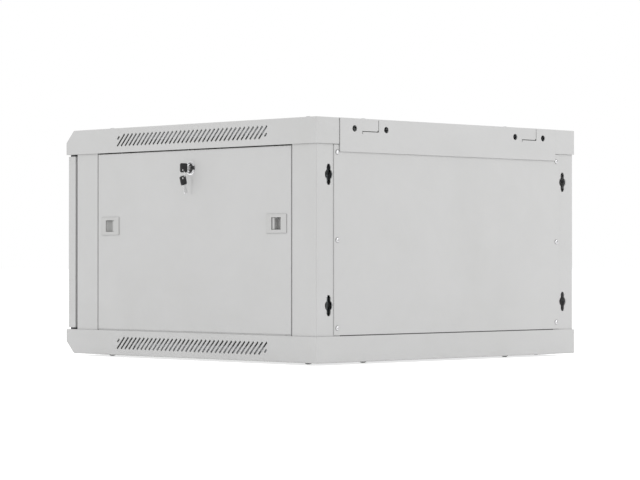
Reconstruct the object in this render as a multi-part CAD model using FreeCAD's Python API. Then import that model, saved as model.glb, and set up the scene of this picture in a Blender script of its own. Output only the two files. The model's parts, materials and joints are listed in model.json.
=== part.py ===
"""Wall mount network cabinet: a 6U, 600 x 600 mm flat-pack housing with 19 inch rails.

Two pressed covers are bolted to four corner posts and four depth rails. A glazed door hangs in front on
two pins, the side panels are held by slide latches and a cam lock, and a screwed sheet closes the rear.

Sizes are in millimetres. While the pieces are made, x = 0 is the middle of the width, y = 0 the middle of
the covers' depth with the door at -y, and z = 0 the underside of the bottom cover. On export everything
moves so that the origin lies on the wall plane, midway between the four hanging holes.
"""
import FreeCAD, Part
import math
import os

V = FreeCAD.Vector

# Rack standard and overall housing
RACK_UNITS = 6
UNIT_H = 44.45
UNIT_HOLES = (6.35, 22.25, 38.1)
RACK_HOLE_SPACING = 465.1
RACK_HOLE = 9.5
RACK_OPENING = 450.0
SIDE_ROOM = 67.45     # from the rack's hole line to the cabinet's side
HEADROOM = 52.15      # above and below the rack units
CABINET_D = 600.0

# Sheet thicknesses
COVER_T = 1.5
POST_T = 1.5
PANEL_T = 1.2
RAIL_T = 2.0
BAR_T = 1.5
DOOR_T = 1.2

# Named clearances
SEAT = 0.3            # between pieces that rest or slide on one another
COVER_FIT = 0.5       # between a cover's flange and the posts inside it
PANEL_SEAM = 1.6      # between a side panel's ends and the posts
RUN = 0.05            # radial clearance of turning and sliding pins
PANEL_GAP = 1.6       # visible joint round the side and rear panels
DOOR_GAP = 3.0        # between the door and the covers

# Covers
FLANGE_H = 40.0
FASCIA_H = 20.0
CHAMFER = 20.0
LIP_D = 16.0
BEND_R = 1.5
BAR_END_GAP = 0.8     # between the crossbar's ends and the top cover's rear corners

# Slanted vents in the covers' side flanges
VENT_COUNT = 35
VENT_PITCH = 10.0
VENT_RISE = 22.8
VENT_LEAN = 22.2
VENT_W = 3.3
VENT_STUB = (0.07, 0.33)   # ends of the short slot beyond each end, as shares of the rise above the middle
FAN_GRILLE_R = 52.0
FAN_GRILLE_X = 110.0
FAN_GRILLE_Y = -70.0
FAN_SLOT_COUNT = 9
FAN_SLOT_W = 6.0

# Corner posts
FRONT_SETBACK = 26.2
POST_SIDE_W = 53.5
POST_FACE_W = 50.0
POST_RETURN = 12.0
KEYHOLE_INSET = 25.8
KEYHOLE_SPAN = 198.0
KEYHOLE_R = 8.1
KEYHOLE_SIDES = 16
KEYHOLE_SLOT_W = 8.8
KEYHOLE_H = 33.0

# Rear top crossbar, on the wall side
BAR_END_INSET = 49.2
BAR_LAP = 11.5        # of the crossbar's face below the covers' flange height
BAR_PROUD = 1.0
BAR_FLANGE_D = 45.0
HANG_HOLE_R = 5.0
HANG_HOLE_DROP = 15.5
HANG_PAIR = 69.0
TAB_INSET = 65.9      # from the crossbar's end to the middle of a tab and of its pair of holes
TAB_W = 36.0
TAB_H = 20.0
TAB_GAP = 1.2
TAB_RELIEF_H = 3.4
TAB_CORNER = 2.6
BOTTOM_BAR_H = 20.0

# Rear panel
REAR_PANEL_INSET = 38.0
REAR_PANEL_DROP = 1.2     # the gap between its top edge and the top cover
REAR_SCREW_INSET = 7.0
REAR_SCREW_DROP = 12.5

# Depth rails and 19 inch rails
DEPTH_RAIL_INSET = 35.5
DEPTH_RAIL_W = 29.4
DEPTH_RAIL_H = 18.5
RACK_FLANGE_D = 40.0
RACK_SETBACK = {"front": 60.0, "rear": 61.8}
RAIL_SLOT_L = 100.0

# Fasteners
HEAD_SIDES = 8
SHANK_SIDES = 6
M6_R = 3.0
M6_HOLE_R = 3.3
BOLT_HEAD_R = 5.8
BOLT_HEAD_H = 3.8
BOLT_END = 5.0
RAIL_BOLT_INSET = 51.9
PAIR_BOLT_INSET_X = 134.8
PAIR_BOLT_INSET_Y = 35.4
REAR_SCREW_R = 2.5
REAR_SCREW_HEAD_R = 3.7
REAR_SCREW_HEAD_H = 1.6

# Cable entries in both covers
ENTRY_W = 240.0
ENTRY_D = 60.0
ENTRY_INSET = 120.0
ENTRY_RIM = 12.0
ENTRY_GAP = 0.6

# Side panels
PANEL_RETURN = 10.0
PANEL_HOOK_H = 12.0
PANEL_HOOK_END = 12.0

# Slide latches on the side panels
LATCH_INSET = 32.0
LATCH_ABOVE_MIDDLE = 25.5
LATCH_PLATE_W = 45.2
LATCH_PLATE_H = 29.4
LATCH_PROUD = 1.5
LATCH_WINDOW_W = 21.0
LATCH_WINDOW_H = 18.8
LATCH_WALL = 1.5
LATCH_GAP = 4.5       # room under the plate for the slider's travel
LATCH_RIB = 5.4
LATCH_BOLT_H = 16.0
LATCH_BOLT_T = 3.0
LATCH_CATCH = 3.6
LATCH_SCOOP = 8.5

# Cam locks
LOCK_DROP = 28.5
BEZEL_R = 11.0
BEZEL_H = 2.4
BARREL_R = 8.5
BARREL_SIDES = 12
BORE_SIDES = 24
PLUG_R = 6.5
PLUG_PROUD = 0.8
SPINDLE_W = 6.0
SPINDLE_END = 3.0
CAM_T = 2.0
CAM_W = 13.0
LOCK_NUT_AF = 22.0
LOCK_NUT_T = 4.0
SIDE_BARREL_L = 20.0
CAM_REACH = 1.9       # of the cam's tip above the side panel's top joint
CATCH_W = 40.0
CATCH_H = 8.0
CATCH_T = 1.5

# Keys on the right side lock
KEY_T = 2.2
KEY_HEAD_W = 14.4
KEY_HEAD_H = 14.7
KEY_HEAD_STANDOFF = 5.0
KEY_CORNER_R = 2.6
KEY_HOLE_R = 2.0
KEY_HOLE_DROP = 4.0
KEY_HOLE_OUT = 9.0
BLADE_W = 6.0
BLADE_T = 1.8
BLADE_IN = 12.0
RING_R = 5.0
RING_SIDES = 20
RING_W = 1.2
RING_T = 1.0
SPARE_BOW_W = 12.2
SPARE_BOW_H = 14.6
SPARE_BLADE_L = 13.5
SPARE_HOLE_DROP = 3.5
SPARE_TILT = 15.0

# Door
DOOR_DEPTH = 18.7
DOOR_SIDE_INSET = 3.0
DOOR_FRONT_INSET = 1.7
DOOR_STILE_W = 87.0
DOOR_BORDER_H = 30.0
DOOR_BACK_LIP = 14.0
GLASS_T = 4.0
GLASS_OVERLAP = 12.0
SEAL_T = 1.0
SEAL_W = 9.0
CLIP_W = 16.0
CLIP_T = 1.2
CLIP_GRIP = 8.0
HINGE_INSET = 12.0
HINGE_PIN_R = 3.0
HINGE_BUSH_R = 5.0
HINGE_BUSH_FLANGE_R = 6.5
HINGE_PIN_IN = 14.0
HINGE_PIN_HEAD = 2.0
HINGE_SIDES = 12
TOP_PIN_L = 46.0
TOP_PIN_PULL = 16.0
BRACKET_W = 14.0
BRACKET_DROP = 32.0
DOOR_LOCK_INSET = 35.0
DOOR_BARREL_L = 26.2
DOOR_CAM_L = 22.0
LOCK_SLOT_W = 22.0
LOCK_SLOT_EXTRA = 4.0

# Faces worked out from the sizes above
CABINET_W = RACK_HOLE_SPACING + 2 * SIDE_ROOM
CABINET_H = RACK_UNITS * UNIT_H + 2 * HEADROOM
SIDE_X = CABINET_W / 2 - COVER_T - COVER_FIT
REAR_Y = CABINET_D / 2 - COVER_T - COVER_FIT
FRONT_Y = -CABINET_D / 2 + FRONT_SETBACK
FRAME_Y = (FRONT_Y + REAR_Y) / 2
MIDDLE_Z = CABINET_H / 2
BAR_FACE_Y = CABINET_D / 2 + BAR_PROUD
BAR_H = FLANGE_H + BAR_LAP
HANG_HOLE_Z = CABINET_H - HANG_HOLE_DROP
POST_INNER_X = SIDE_X - POST_FACE_W
FRAME_HALF_D = (REAR_Y - FRONT_Y) / 2
PANEL_HALF_D = FRAME_HALF_D - POST_SIDE_W - PANEL_SEAM
PANEL_Z0 = FLANGE_H + PANEL_GAP
PANEL_Z1 = CABINET_H - FLANGE_H - PANEL_GAP
LOCK_Z = PANEL_Z1 - LOCK_DROP
SIDE_CAM_L = LOCK_DROP + PANEL_GAP + CAM_REACH
LATCH_Y = PANEL_HALF_D - LATCH_INSET
LATCH_Z = MIDDLE_Z + LATCH_ABOVE_MIDDLE
DEPTH_RAIL_X = CABINET_W / 2 - DEPTH_RAIL_INSET
DEPTH_RAIL_INNER = DEPTH_RAIL_X - DEPTH_RAIL_W / 2
BAR_HALF_W = CABINET_W / 2 - BAR_END_INSET
TAB_X = BAR_HALF_W - TAB_INSET
REAR_PANEL_HALF_W = CABINET_W / 2 - REAR_PANEL_INSET
PAIR_BOLT_X = CABINET_W / 2 - PAIR_BOLT_INSET_X
PAIR_BOLT_Y = CABINET_D / 2 - PAIR_BOLT_INSET_Y
ENTRY_Y = CABINET_D / 2 - ENTRY_INSET
DOOR_FRONT_Y = -CABINET_D / 2 + DOOR_FRONT_INSET
DOOR_BACK_Y = DOOR_FRONT_Y + DOOR_DEPTH
DOOR_HALF_W = CABINET_W / 2 - DOOR_SIDE_INSET
DOOR_Z0 = FLANGE_H + DOOR_GAP
DOOR_Z1 = CABINET_H - FLANGE_H - DOOR_GAP
HINGE_X = CABINET_W / 2 - HINGE_INSET
HINGE_Y = DOOR_FRONT_Y + DOOR_DEPTH / 2
DOOR_LOCK_X = DOOR_HALF_W - DOOR_LOCK_INSET
ORIGIN = V(0, BAR_FACE_Y, HANG_HOLE_Z)

ROUND_BENDS = 0
SHARP_BENDS = 2
SIDES = {"left": -1, "right": 1}
ENDS = {"front": -1, "rear": 1}
LEVELS = {"bottom": -1, "top": 1}
TO_AXIS = {
    "x": FreeCAD.Rotation(V(1, 1, 1), 120),
    "y": FreeCAD.Rotation(V(1, 1, 1), 240),
    "z": FreeCAD.Rotation(),
}


# ---- shared shapes ---------------------------------------------------------------------------------------

def box(x0, x1, y0, y1, z0, z1):
    """A block between two corners, given as low and high values in any order."""
    low = V(min(x0, x1), min(y0, y1), min(z0, z1))
    return Part.makeBox(abs(x1 - x0), abs(y1 - y0), abs(z1 - z0), low)


def prism(points, axis, start, end):
    """A closed outline extruded along an axis. Points are (y, z), (z, x) or (x, y) for x, y or z."""
    corners = [V(a, b, start) for a, b in points]
    solid = Part.Face(Part.makePolygon(corners + corners[:1])).extrude(V(0, 0, end - start))
    solid.rotate(V(), TO_AXIS[axis].Axis, math.degrees(TO_AXIS[axis].Angle))
    return solid


def folded_sheet(path, thickness, axis, start, end, join=ROUND_BENDS):
    """Sheet laid on the right-hand side of an open path, with its bends, extruded along an axis."""
    wire = Part.makePolygon([V(a, b, start) for a, b in path])
    section = wire.makeOffset2D(thickness, join, True, True, False)
    solid = section.extrude(V(0, 0, end - start))
    solid.rotate(V(), TO_AXIS[axis].Axis, math.degrees(TO_AXIS[axis].Angle))
    return solid


def polygon_bar(radius, base, direction, length, sides):
    """A bar with flat sides whose corners lie on a circle, standing on a base point."""
    turn = 2 * math.pi / sides
    ring = [V(radius * math.cos(i * turn), radius * math.sin(i * turn), 0) for i in range(sides)]
    bar = Part.Face(Part.makePolygon(ring + ring[:1])).extrude(V(0, 0, length))
    bar.Placement = FreeCAD.Placement(base, FreeCAD.Rotation(V(0, 0, 1), direction))
    return bar


def polygon_bore(radius, base, direction, length, sides):
    """A cutter with flat sides that lie against a circle of the given radius."""
    return polygon_bar(radius / math.cos(math.pi / sides), base, direction, length, sides)


def rod(radius, base, direction, length):
    """A round bar from a base point along a direction."""
    return Part.makeCylinder(radius, length, base, direction)


def slot_outline(first, second, width, flats=1):
    """A slot between two points; each end is square, or rounded with the given number of flats."""
    angle = math.atan2(second[1] - first[1], second[0] - first[0])
    outline = []
    for centre, end_angle in ((first, angle + math.pi), (second, angle)):
        for step in range(flats + 1):
            turn = end_angle + math.pi * (step / flats - 0.5)
            outline.append((centre[0] + width / 2 * math.cos(turn), centre[1] + width / 2 * math.sin(turn)))
    return outline


def mirrored(shape, side):
    """The shape itself for side 1, or its mirror image in x for side -1."""
    return shape if side > 0 else shape.mirror(V(), V(1, 0, 0))


def facing(shape, place, outward, along):
    """A copy of a shape made looking along +z with +x as its long way, turned to outward and along."""
    across = outward.cross(along)
    matrix = FreeCAD.Matrix(
        along.x, across.x, outward.x, place.x,
        along.y, across.y, outward.y, place.y,
        along.z, across.z, outward.z, place.z,
        0, 0, 0, 1)
    copy = shape.copy()
    copy.Placement = FreeCAD.Placement(matrix)
    return copy


def joined(shapes):
    """One solid out of several touching ones, with coplanar faces merged."""
    return shapes[0].multiFuse(shapes[1:]).removeSplitter() if len(shapes) > 1 else shapes[0]


def group(shapes):
    """Separate solids kept together in one node."""
    return Part.makeCompound(shapes)


def bolt(head_r, head_h, shank_r, base, direction, shank_l):
    """A pan-head bolt: the head stands on the base point, the shank runs on along the direction."""
    head = polygon_bar(head_r, base, direction * -1, head_h, HEAD_SIDES)
    return joined([head, polygon_bar(shank_r, base, direction, shank_l, SHANK_SIDES)])


def bolt_hole(base, direction, length):
    """The clearance hole of an M6 bolt."""
    return polygon_bar(M6_HOLE_R, base, direction, length, HEAD_SIDES)


# ---- bolt places shared by the covers and what lies inside them ------------------------------------------

def rail_bolt_places():
    """Where the covers are bolted to the ends of the depth rails."""
    reach = FRAME_HALF_D - RAIL_BOLT_INSET
    return [(side * DEPTH_RAIL_X, FRAME_Y + end * reach) for side in SIDES.values() for end in ENDS.values()]


def bar_bolt_places():
    """Where the covers are bolted to the two rear crossbars."""
    return [(side * PAIR_BOLT_X, PAIR_BOLT_Y) for side in SIDES.values()]


def cover_bolts(level):
    """The six bolts that hold one cover; below, their heads are also the cabinet's feet."""
    face_z = CABINET_H if level > 0 else 0.0
    inward = V(0, 0, -level)
    places = rail_bolt_places() + bar_bolt_places()
    length = COVER_T + BAR_T + BOLT_END
    return group([bolt(BOLT_HEAD_R, BOLT_HEAD_H, M6_R, V(x, y, face_z), inward, length) for x, y in places])


def cover_bolt_holes(places):
    """Holes through both covers' plates at the given places."""
    return [bolt_hole(V(x, y, z), V(0, 0, 1), 20.0) for x, y in places for z in (-10.0, CABINET_H - 10.0)]


# ---- covers ----------------------------------------------------------------------------------------------

def cover_outline(inset):
    """Side outline of a cover pressing, as (y, height above its outer face), drawn in by an inset."""
    front = -CABINET_D / 2 + inset
    rear = CABINET_D / 2 - inset
    corner = inset * (math.sqrt(2) - 1)
    return [(front, FLANGE_H), (front, FASCIA_H + corner), (-CABINET_D / 2 + CHAMFER + corner, inset),
            (rear, inset), (rear, FLANGE_H)]


def cover_pressing():
    """The tray shared by both covers, its outer face at z = 0 and its flanges standing up."""
    outer = prism(cover_outline(0.0), "x", -CABINET_W / 2, CABINET_W / 2)
    outer = outer.makeFillet(BEND_R, [edge for edge in outer.Edges if is_bend(edge)])
    inner_half = CABINET_W / 2 - COVER_T
    tray = outer.cut(prism(cover_outline(COVER_T), "x", -inner_half, inner_half))
    front = -CABINET_D / 2 + COVER_T
    lip = box(-inner_half, inner_half, front, front + LIP_D - COVER_T, FLANGE_H - COVER_T, FLANGE_H)
    tray = joined([tray, lip])
    entry = box(-ENTRY_W / 2, ENTRY_W / 2, ENTRY_Y - ENTRY_D / 2, ENTRY_Y + ENTRY_D / 2, -1, COVER_T + 1)
    return tray.cut(entry)


def is_bend(edge):
    """True for the folds round the plate and where the fascia leans back, but not for the welded corners."""
    bounds = edge.BoundBox
    across = bounds.YLength < 0.01 and bounds.ZLength < 0.01 and bounds.ZMax < FLANGE_H - 1
    along_side = bounds.XLength < 0.01 and bounds.ZLength < 0.01 and bounds.ZMax < 1
    return across or along_side


def vent_field(level):
    """The slanted slots of both side flanges of one cover, as cutters that pass through the sheet."""
    middle_z = CABINET_H / 2 + level * (CABINET_H / 2 - FLANGE_H / 2)
    straight = VENT_RISE - VENT_W
    lean = VENT_LEAN * straight / VENT_RISE
    low, high = VENT_STUB
    spans = [(index, -0.5, 0.5) for index in range(VENT_COUNT)]
    spans += [(-1, low, high), (VENT_COUNT, -high, -low)]
    cutters = []
    for index, start, end in spans:
        centre = FRAME_Y + (index - (VENT_COUNT - 1) / 2) * VENT_PITCH
        ends = [(centre + share * lean, middle_z + share * straight) for share in (start, end)]
        outline = slot_outline(ends[0], ends[1], VENT_W)
        for side in SIDES.values():
            near, far = sorted((side * (CABINET_W / 2 - COVER_T - 1), side * (CABINET_W / 2 + 1)))
            cutters.append(prism(outline, "x", near, far))
    return cutters


def fan_grilles():
    """Two round fields of straight slots over the fan places, as cutters through the top plate."""
    cutters = []
    pitch = 2 * FAN_GRILLE_R / FAN_SLOT_COUNT
    for side in SIDES.values():
        for index in range(FAN_SLOT_COUNT):
            offset = (index - (FAN_SLOT_COUNT - 1) / 2) * pitch
            half = math.sqrt(FAN_GRILLE_R ** 2 - offset ** 2) - FAN_SLOT_W / 2
            x = side * FAN_GRILLE_X + offset
            outline = slot_outline((x, FAN_GRILLE_Y - half), (x, FAN_GRILLE_Y + half), FAN_SLOT_W)
            cutters.append(prism(outline, "z", CABINET_H - COVER_T - 1, CABINET_H + 1))
    return cutters


def hinge_hole(level):
    """The hole in a cover's front lip: the fixed pin stands in the lower one, the sprung pin slides above."""
    if level < 0:
        return polygon_bar(HINGE_PIN_R + RUN, V(HINGE_X, HINGE_Y, FLANGE_H - 5), V(0, 0, 1), 10, HINGE_SIDES)
    foot = V(HINGE_X, HINGE_Y, CABINET_H - FLANGE_H - 5)
    return polygon_bore(HINGE_PIN_R + RUN, foot, V(0, 0, 1), 10, BORE_SIDES)


def bottom_cover():
    """The bottom pressing, with its flanges all round."""
    cutters = vent_field(-1) + cover_bolt_holes(rail_bolt_places() + bar_bolt_places())
    return cover_pressing().cut(cutters + [hinge_hole(-1)])


def tab_edges(side):
    """Low and high x of one locating tab of the top cover."""
    centre = side * TAB_X
    return centre - TAB_W / 2 + TAB_GAP, centre + TAB_W / 2 - RUN


def cover_tab(side):
    """One locating tab, with the corner beside its gap cut off."""
    low, high = tab_edges(side)
    foot = CABINET_H - TAB_H + TAB_GAP
    outline = [(foot + TAB_CORNER, low), (foot, low + TAB_CORNER), (foot, high),
               (CABINET_H, high), (CABINET_H, low)]
    return prism(outline, "y", BAR_FACE_Y - BAR_T, BAR_FACE_Y)


def top_cover():
    """The top pressing: no rear flange behind the crossbar, but two tabs that drop into its notches."""
    tray = cover_pressing().mirror(V(), V(0, 0, 1))
    tray.translate(V(0, 0, CABINET_H))
    opening = BAR_HALF_W + BAR_END_GAP
    rear = CABINET_D / 2
    plate_z = CABINET_H - COVER_T
    tray = tray.cut(box(-opening, opening, rear - COVER_T - 1, rear + 1, 0, plate_z))
    pieces = [tray, box(-opening, opening, rear - COVER_T - 1, BAR_FACE_Y, plate_z, CABINET_H)]
    for side in SIDES.values():
        pieces.append(cover_tab(side))
    cutters = vent_field(1) + fan_grilles() + [hinge_hole(1)]
    cutters += cover_bolt_holes(rail_bolt_places() + bar_bolt_places())
    return joined(pieces).cut(cutters)


def cable_entry_plate(level):
    """A dished plate that snaps into a cover's cable opening from the inside."""
    half_w = ENTRY_W / 2 - ENTRY_GAP
    half_d = ENTRY_D / 2 - ENTRY_GAP
    rim_w = ENTRY_W / 2 + ENTRY_RIM
    rim_d = ENTRY_D / 2 + ENTRY_RIM
    rim = box(-rim_w, rim_w, -rim_d, rim_d, COVER_T, COVER_T + PANEL_T)
    boss = box(-half_w, half_w, -half_d, half_d, 0, COVER_T + PANEL_T)
    hollow = box(-half_w + PANEL_T, half_w - PANEL_T, -half_d + PANEL_T, half_d - PANEL_T,
                 PANEL_T, COVER_T + PANEL_T + 1)
    plate = joined([rim, boss]).cut(hollow)
    plate.translate(V(0, ENTRY_Y, 0))
    if level > 0:
        plate = plate.mirror(V(0, 0, CABINET_H / 2), V(0, 0, 1))
    return plate


# ---- frame -----------------------------------------------------------------------------------------------

def post(side, end):
    """One corner post: a folded angle with returned edges, keyholes at the rear, a lock slot in front."""
    near_x = POST_INNER_X + POST_T
    side_x = SIDE_X - POST_T
    far_y = REAR_Y - POST_T
    start_y = REAR_Y - POST_SIDE_W + POST_T
    path = [(SIDE_X - POST_RETURN, start_y), (side_x, start_y), (side_x, far_y),
            (near_x, far_y), (near_x, REAR_Y - POST_RETURN)]
    shape = folded_sheet(path, POST_T, "z", COVER_T, CABINET_H - COVER_T)
    if end > 0:
        shape = shape.cut(keyholes() + rear_screw_holes(POST_T))
    else:
        shape = shape.mirror(V(0, FRAME_Y, 0), V(0, 1, 0))
    if end < 0 and side < 0:
        shape = shape.cut(lock_slot())
    return mirrored(shape, side)


def keyhole_outline(z):
    """Outline of a round hole with a narrow slot above and below it, as (z, x)."""
    half = KEYHOLE_SLOT_W / 2
    x = SIDE_X - KEYHOLE_INSET
    mouth = math.asin(half / KEYHOLE_R)
    reach = KEYHOLE_H / 2 - half
    outline = []
    for up in (1, -1):
        for step in range(4):
            turn = math.pi * (step / 3 - 0.5)
            outline.append((z + up * (reach + half * math.cos(turn)), x + up * half * math.sin(turn)))
        for step in range(KEYHOLE_SIDES // 2 + 1):
            turn = mouth + (math.pi - 2 * mouth) * step * 2 / KEYHOLE_SIDES
            outline.append((z + up * KEYHOLE_R * math.cos(turn), x + up * KEYHOLE_R * math.sin(turn)))
    return outline


def keyholes():
    """Cutters for the two double-ended keyholes of a rear post."""
    return [prism(keyhole_outline(MIDDLE_Z + up * KEYHOLE_SPAN / 2), "y", REAR_Y - POST_T - 1, REAR_Y + 1)
            for up in (-1, 1)]


def rear_screw_places():
    """Centres of the rear panel's screws on the right-hand post."""
    reach = MIDDLE_Z - FLANGE_H - REAR_SCREW_DROP
    return [(REAR_PANEL_HALF_W - REAR_SCREW_INSET, MIDDLE_Z + row * reach) for row in (-1, 0, 1)]


def rear_screw_holes(thickness):
    """Holes for the rear panel's screws, through a sheet that ends or starts at the posts' rear face."""
    return [polygon_bar(REAR_SCREW_R + SEAT, V(x, REAR_Y - thickness - 1, z), V(0, 1, 0), 2 * thickness + 2,
                        HEAD_SIDES) for x, z in rear_screw_places()]


def lock_slot():
    """The slot in the front post that the door lock's barrel and lowered cam pass through."""
    low = MIDDLE_Z - DOOR_CAM_L - LOCK_SLOT_EXTRA
    high = MIDDLE_Z + BARREL_R + LOCK_SLOT_EXTRA
    return box(DOOR_LOCK_X - LOCK_SLOT_W / 2, DOOR_LOCK_X + LOCK_SLOT_W / 2,
               FRONT_Y - 1, FRONT_Y + POST_T + 1, low, high)


def rear_top_crossbar():
    """The hanging bar: a folded angle with four round holes and two open notches for the cover's tabs."""
    outer_z = CABINET_H - COVER_T
    path = [(BAR_FACE_Y - BAR_FLANGE_D, outer_z - BAR_T), (BAR_FACE_Y - BAR_T, outer_z - BAR_T),
            (BAR_FACE_Y - BAR_T, CABINET_H - BAR_H)]
    bar = folded_sheet(path, -BAR_T, "x", -BAR_HALF_W, BAR_HALF_W, SHARP_BENDS)
    cutters = cover_bolt_holes(bar_bolt_places())
    flange_end = POST_INNER_X - SEAT
    for side in SIDES.values():
        cutters.append(box(side * flange_end, side * (BAR_HALF_W + 1), BAR_FACE_Y - BAR_FLANGE_D - 1,
                           REAR_Y + SEAT, outer_z - 2 * BAR_T, CABINET_H))
        centre = side * TAB_X
        for x in (centre - HANG_PAIR / 2, centre + HANG_PAIR / 2):
            cutters.append(rod(HANG_HOLE_R, V(x, BAR_FACE_Y - 5, HANG_HOLE_Z), V(0, 1, 0), 10))
        floor_z = CABINET_H - TAB_H
        cutters.append(box(centre - TAB_W / 2, centre + TAB_W / 2, BAR_FACE_Y - BAR_T - 2, BAR_FACE_Y + 1,
                           floor_z, CABINET_H))
        leg = centre + TAB_W / 2
        cutters.append(box(leg - TAB_GAP, leg, BAR_FACE_Y - 5, BAR_FACE_Y + 1,
                           floor_z - TAB_RELIEF_H, floor_z))
    return bar.cut(cutters)


def rear_bottom_crossbar():
    """A channel on the bottom cover that ties the two lower depth rails together."""
    half = DEPTH_RAIL_W / 2
    low = COVER_T
    path = [(PAIR_BOLT_Y - half + BAR_T, low + BOTTOM_BAR_H), (PAIR_BOLT_Y - half + BAR_T, low + BAR_T),
            (PAIR_BOLT_Y + half - BAR_T, low + BAR_T), (PAIR_BOLT_Y + half - BAR_T, low + BOTTOM_BAR_H)]
    end = DEPTH_RAIL_INNER - SEAT
    bar = folded_sheet(path, BAR_T, "x", -end, end, SHARP_BENDS)
    return bar.cut(cover_bolt_holes(bar_bolt_places()))


def rear_panel():
    """A flat sheet screwed on the rear posts from behind, its top edge tucked under the crossbar."""
    top = CABINET_H - FLANGE_H - REAR_PANEL_DROP
    sheet = box(-REAR_PANEL_HALF_W, REAR_PANEL_HALF_W, REAR_Y, REAR_Y + PANEL_T, PANEL_Z0, top)
    holes = rear_screw_holes(PANEL_T)
    return sheet.cut(holes + [mirrored(hole, -1) for hole in holes])


def rear_panel_screws():
    """The six screws of the rear panel."""
    screws = []
    length = PANEL_T + POST_T + REAR_SCREW_R
    for side in SIDES.values():
        for x, z in rear_screw_places():
            place = V(side * x, REAR_Y + PANEL_T, z)
            screws.append(bolt(REAR_SCREW_HEAD_R, REAR_SCREW_HEAD_H, REAR_SCREW_R, place,
                               V(0, -1, 0), length))
    return group(screws)


def rail_bolt_y(end):
    """Where the 19 inch rails are bolted to the depth rails, measured along the depth."""
    face = rack_face_y(end)
    return face - end * RACK_FLANGE_D / 2


def rack_face_y(end):
    """The mounting face of the front or rear 19 inch rails."""
    return FRONT_Y + RACK_SETBACK["front"] if end < 0 else REAR_Y - RACK_SETBACK["rear"]


def rail_bolt_z(level):
    """Height of the bolts between the 19 inch rails and the depth rails."""
    middle = COVER_T + BAR_T + (DEPTH_RAIL_H - BAR_T) / 2
    return middle if level < 0 else CABINET_H - middle


def depth_rail(side, level):
    """A channel from front to rear post, with long slots that let the 19 inch rails move in depth."""
    inner = DEPTH_RAIL_INNER
    outer = inner + DEPTH_RAIL_W
    web = COVER_T + BAR_T
    tip = COVER_T + DEPTH_RAIL_H
    path = [(tip, inner + BAR_T), (web, inner + BAR_T), (web, outer - BAR_T), (tip, outer - BAR_T)]
    start = FRONT_Y + POST_T + SEAT
    rail = folded_sheet(path, -BAR_T, "y", start, REAR_Y - POST_T - SEAT, SHARP_BENDS)
    cutters = cover_bolt_holes(rail_bolt_places())
    for end in ENDS.values():
        half = RAIL_SLOT_L / 2
        middle = rail_bolt_y(end) - end * (half - RACK_FLANGE_D / 4)
        outline = slot_outline((middle - half, rail_bolt_z(-1)), (middle + half, rail_bolt_z(-1)),
                               2 * M6_HOLE_R)
        cutters.append(prism(outline, "x", inner - 1, inner + BAR_T + 1))
    rail = rail.cut(cutters)
    if level > 0:
        rail = rail.mirror(V(0, 0, MIDDLE_Z), V(0, 0, 1))
    return mirrored(rail, side)


def rack_rail(side, end):
    """One 19 inch rail: an angle with three square holes to each rack unit."""
    outer = DEPTH_RAIL_INNER - SEAT
    inner = RACK_OPENING / 2
    face = rack_face_y(1)
    path = [(outer - RAIL_T, face - RACK_FLANGE_D), (outer - RAIL_T, face - RAIL_T), (inner, face - RAIL_T)]
    low = COVER_T + SEAT
    rail = folded_sheet(path, RAIL_T, "z", low, CABINET_H - low, SHARP_BENDS)
    cutters = []
    bottom = MIDDLE_Z - RACK_UNITS * UNIT_H / 2
    x = RACK_HOLE_SPACING / 2
    half = RACK_HOLE / 2
    for unit in range(RACK_UNITS):
        for rise in UNIT_HOLES:
            z = bottom + unit * UNIT_H + rise
            cutters.append(box(x - half, x + half, face - RAIL_T - 1, face + 1, z - half, z + half))
    for level in LEVELS.values():
        place = V(outer - RAIL_T - 1, face - RACK_FLANGE_D / 2, rail_bolt_z(level))
        cutters.append(bolt_hole(place, V(1, 0, 0), RAIL_T + 2))
    rail = rail.cut(cutters)
    if end < 0:
        rail = rail.mirror(V(0, (rack_face_y(-1) + rack_face_y(1)) / 2, 0), V(0, 1, 0))
    return mirrored(rail, side)


def rail_bolts():
    """The eight bolts that clamp the 19 inch rails to the depth rails."""
    bolts = []
    head_x = DEPTH_RAIL_INNER - SEAT - RAIL_T
    for side in SIDES.values():
        for end in ENDS.values():
            for level in LEVELS.values():
                place = V(side * head_x, rail_bolt_y(end), rail_bolt_z(level))
                bolts.append(bolt(BOLT_HEAD_R, BOLT_HEAD_H, M6_R, place, V(side, 0, 0),
                                  RAIL_T + SEAT + BAR_T + BOLT_END))
    return group(bolts)


# ---- side panels -----------------------------------------------------------------------------------------

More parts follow.
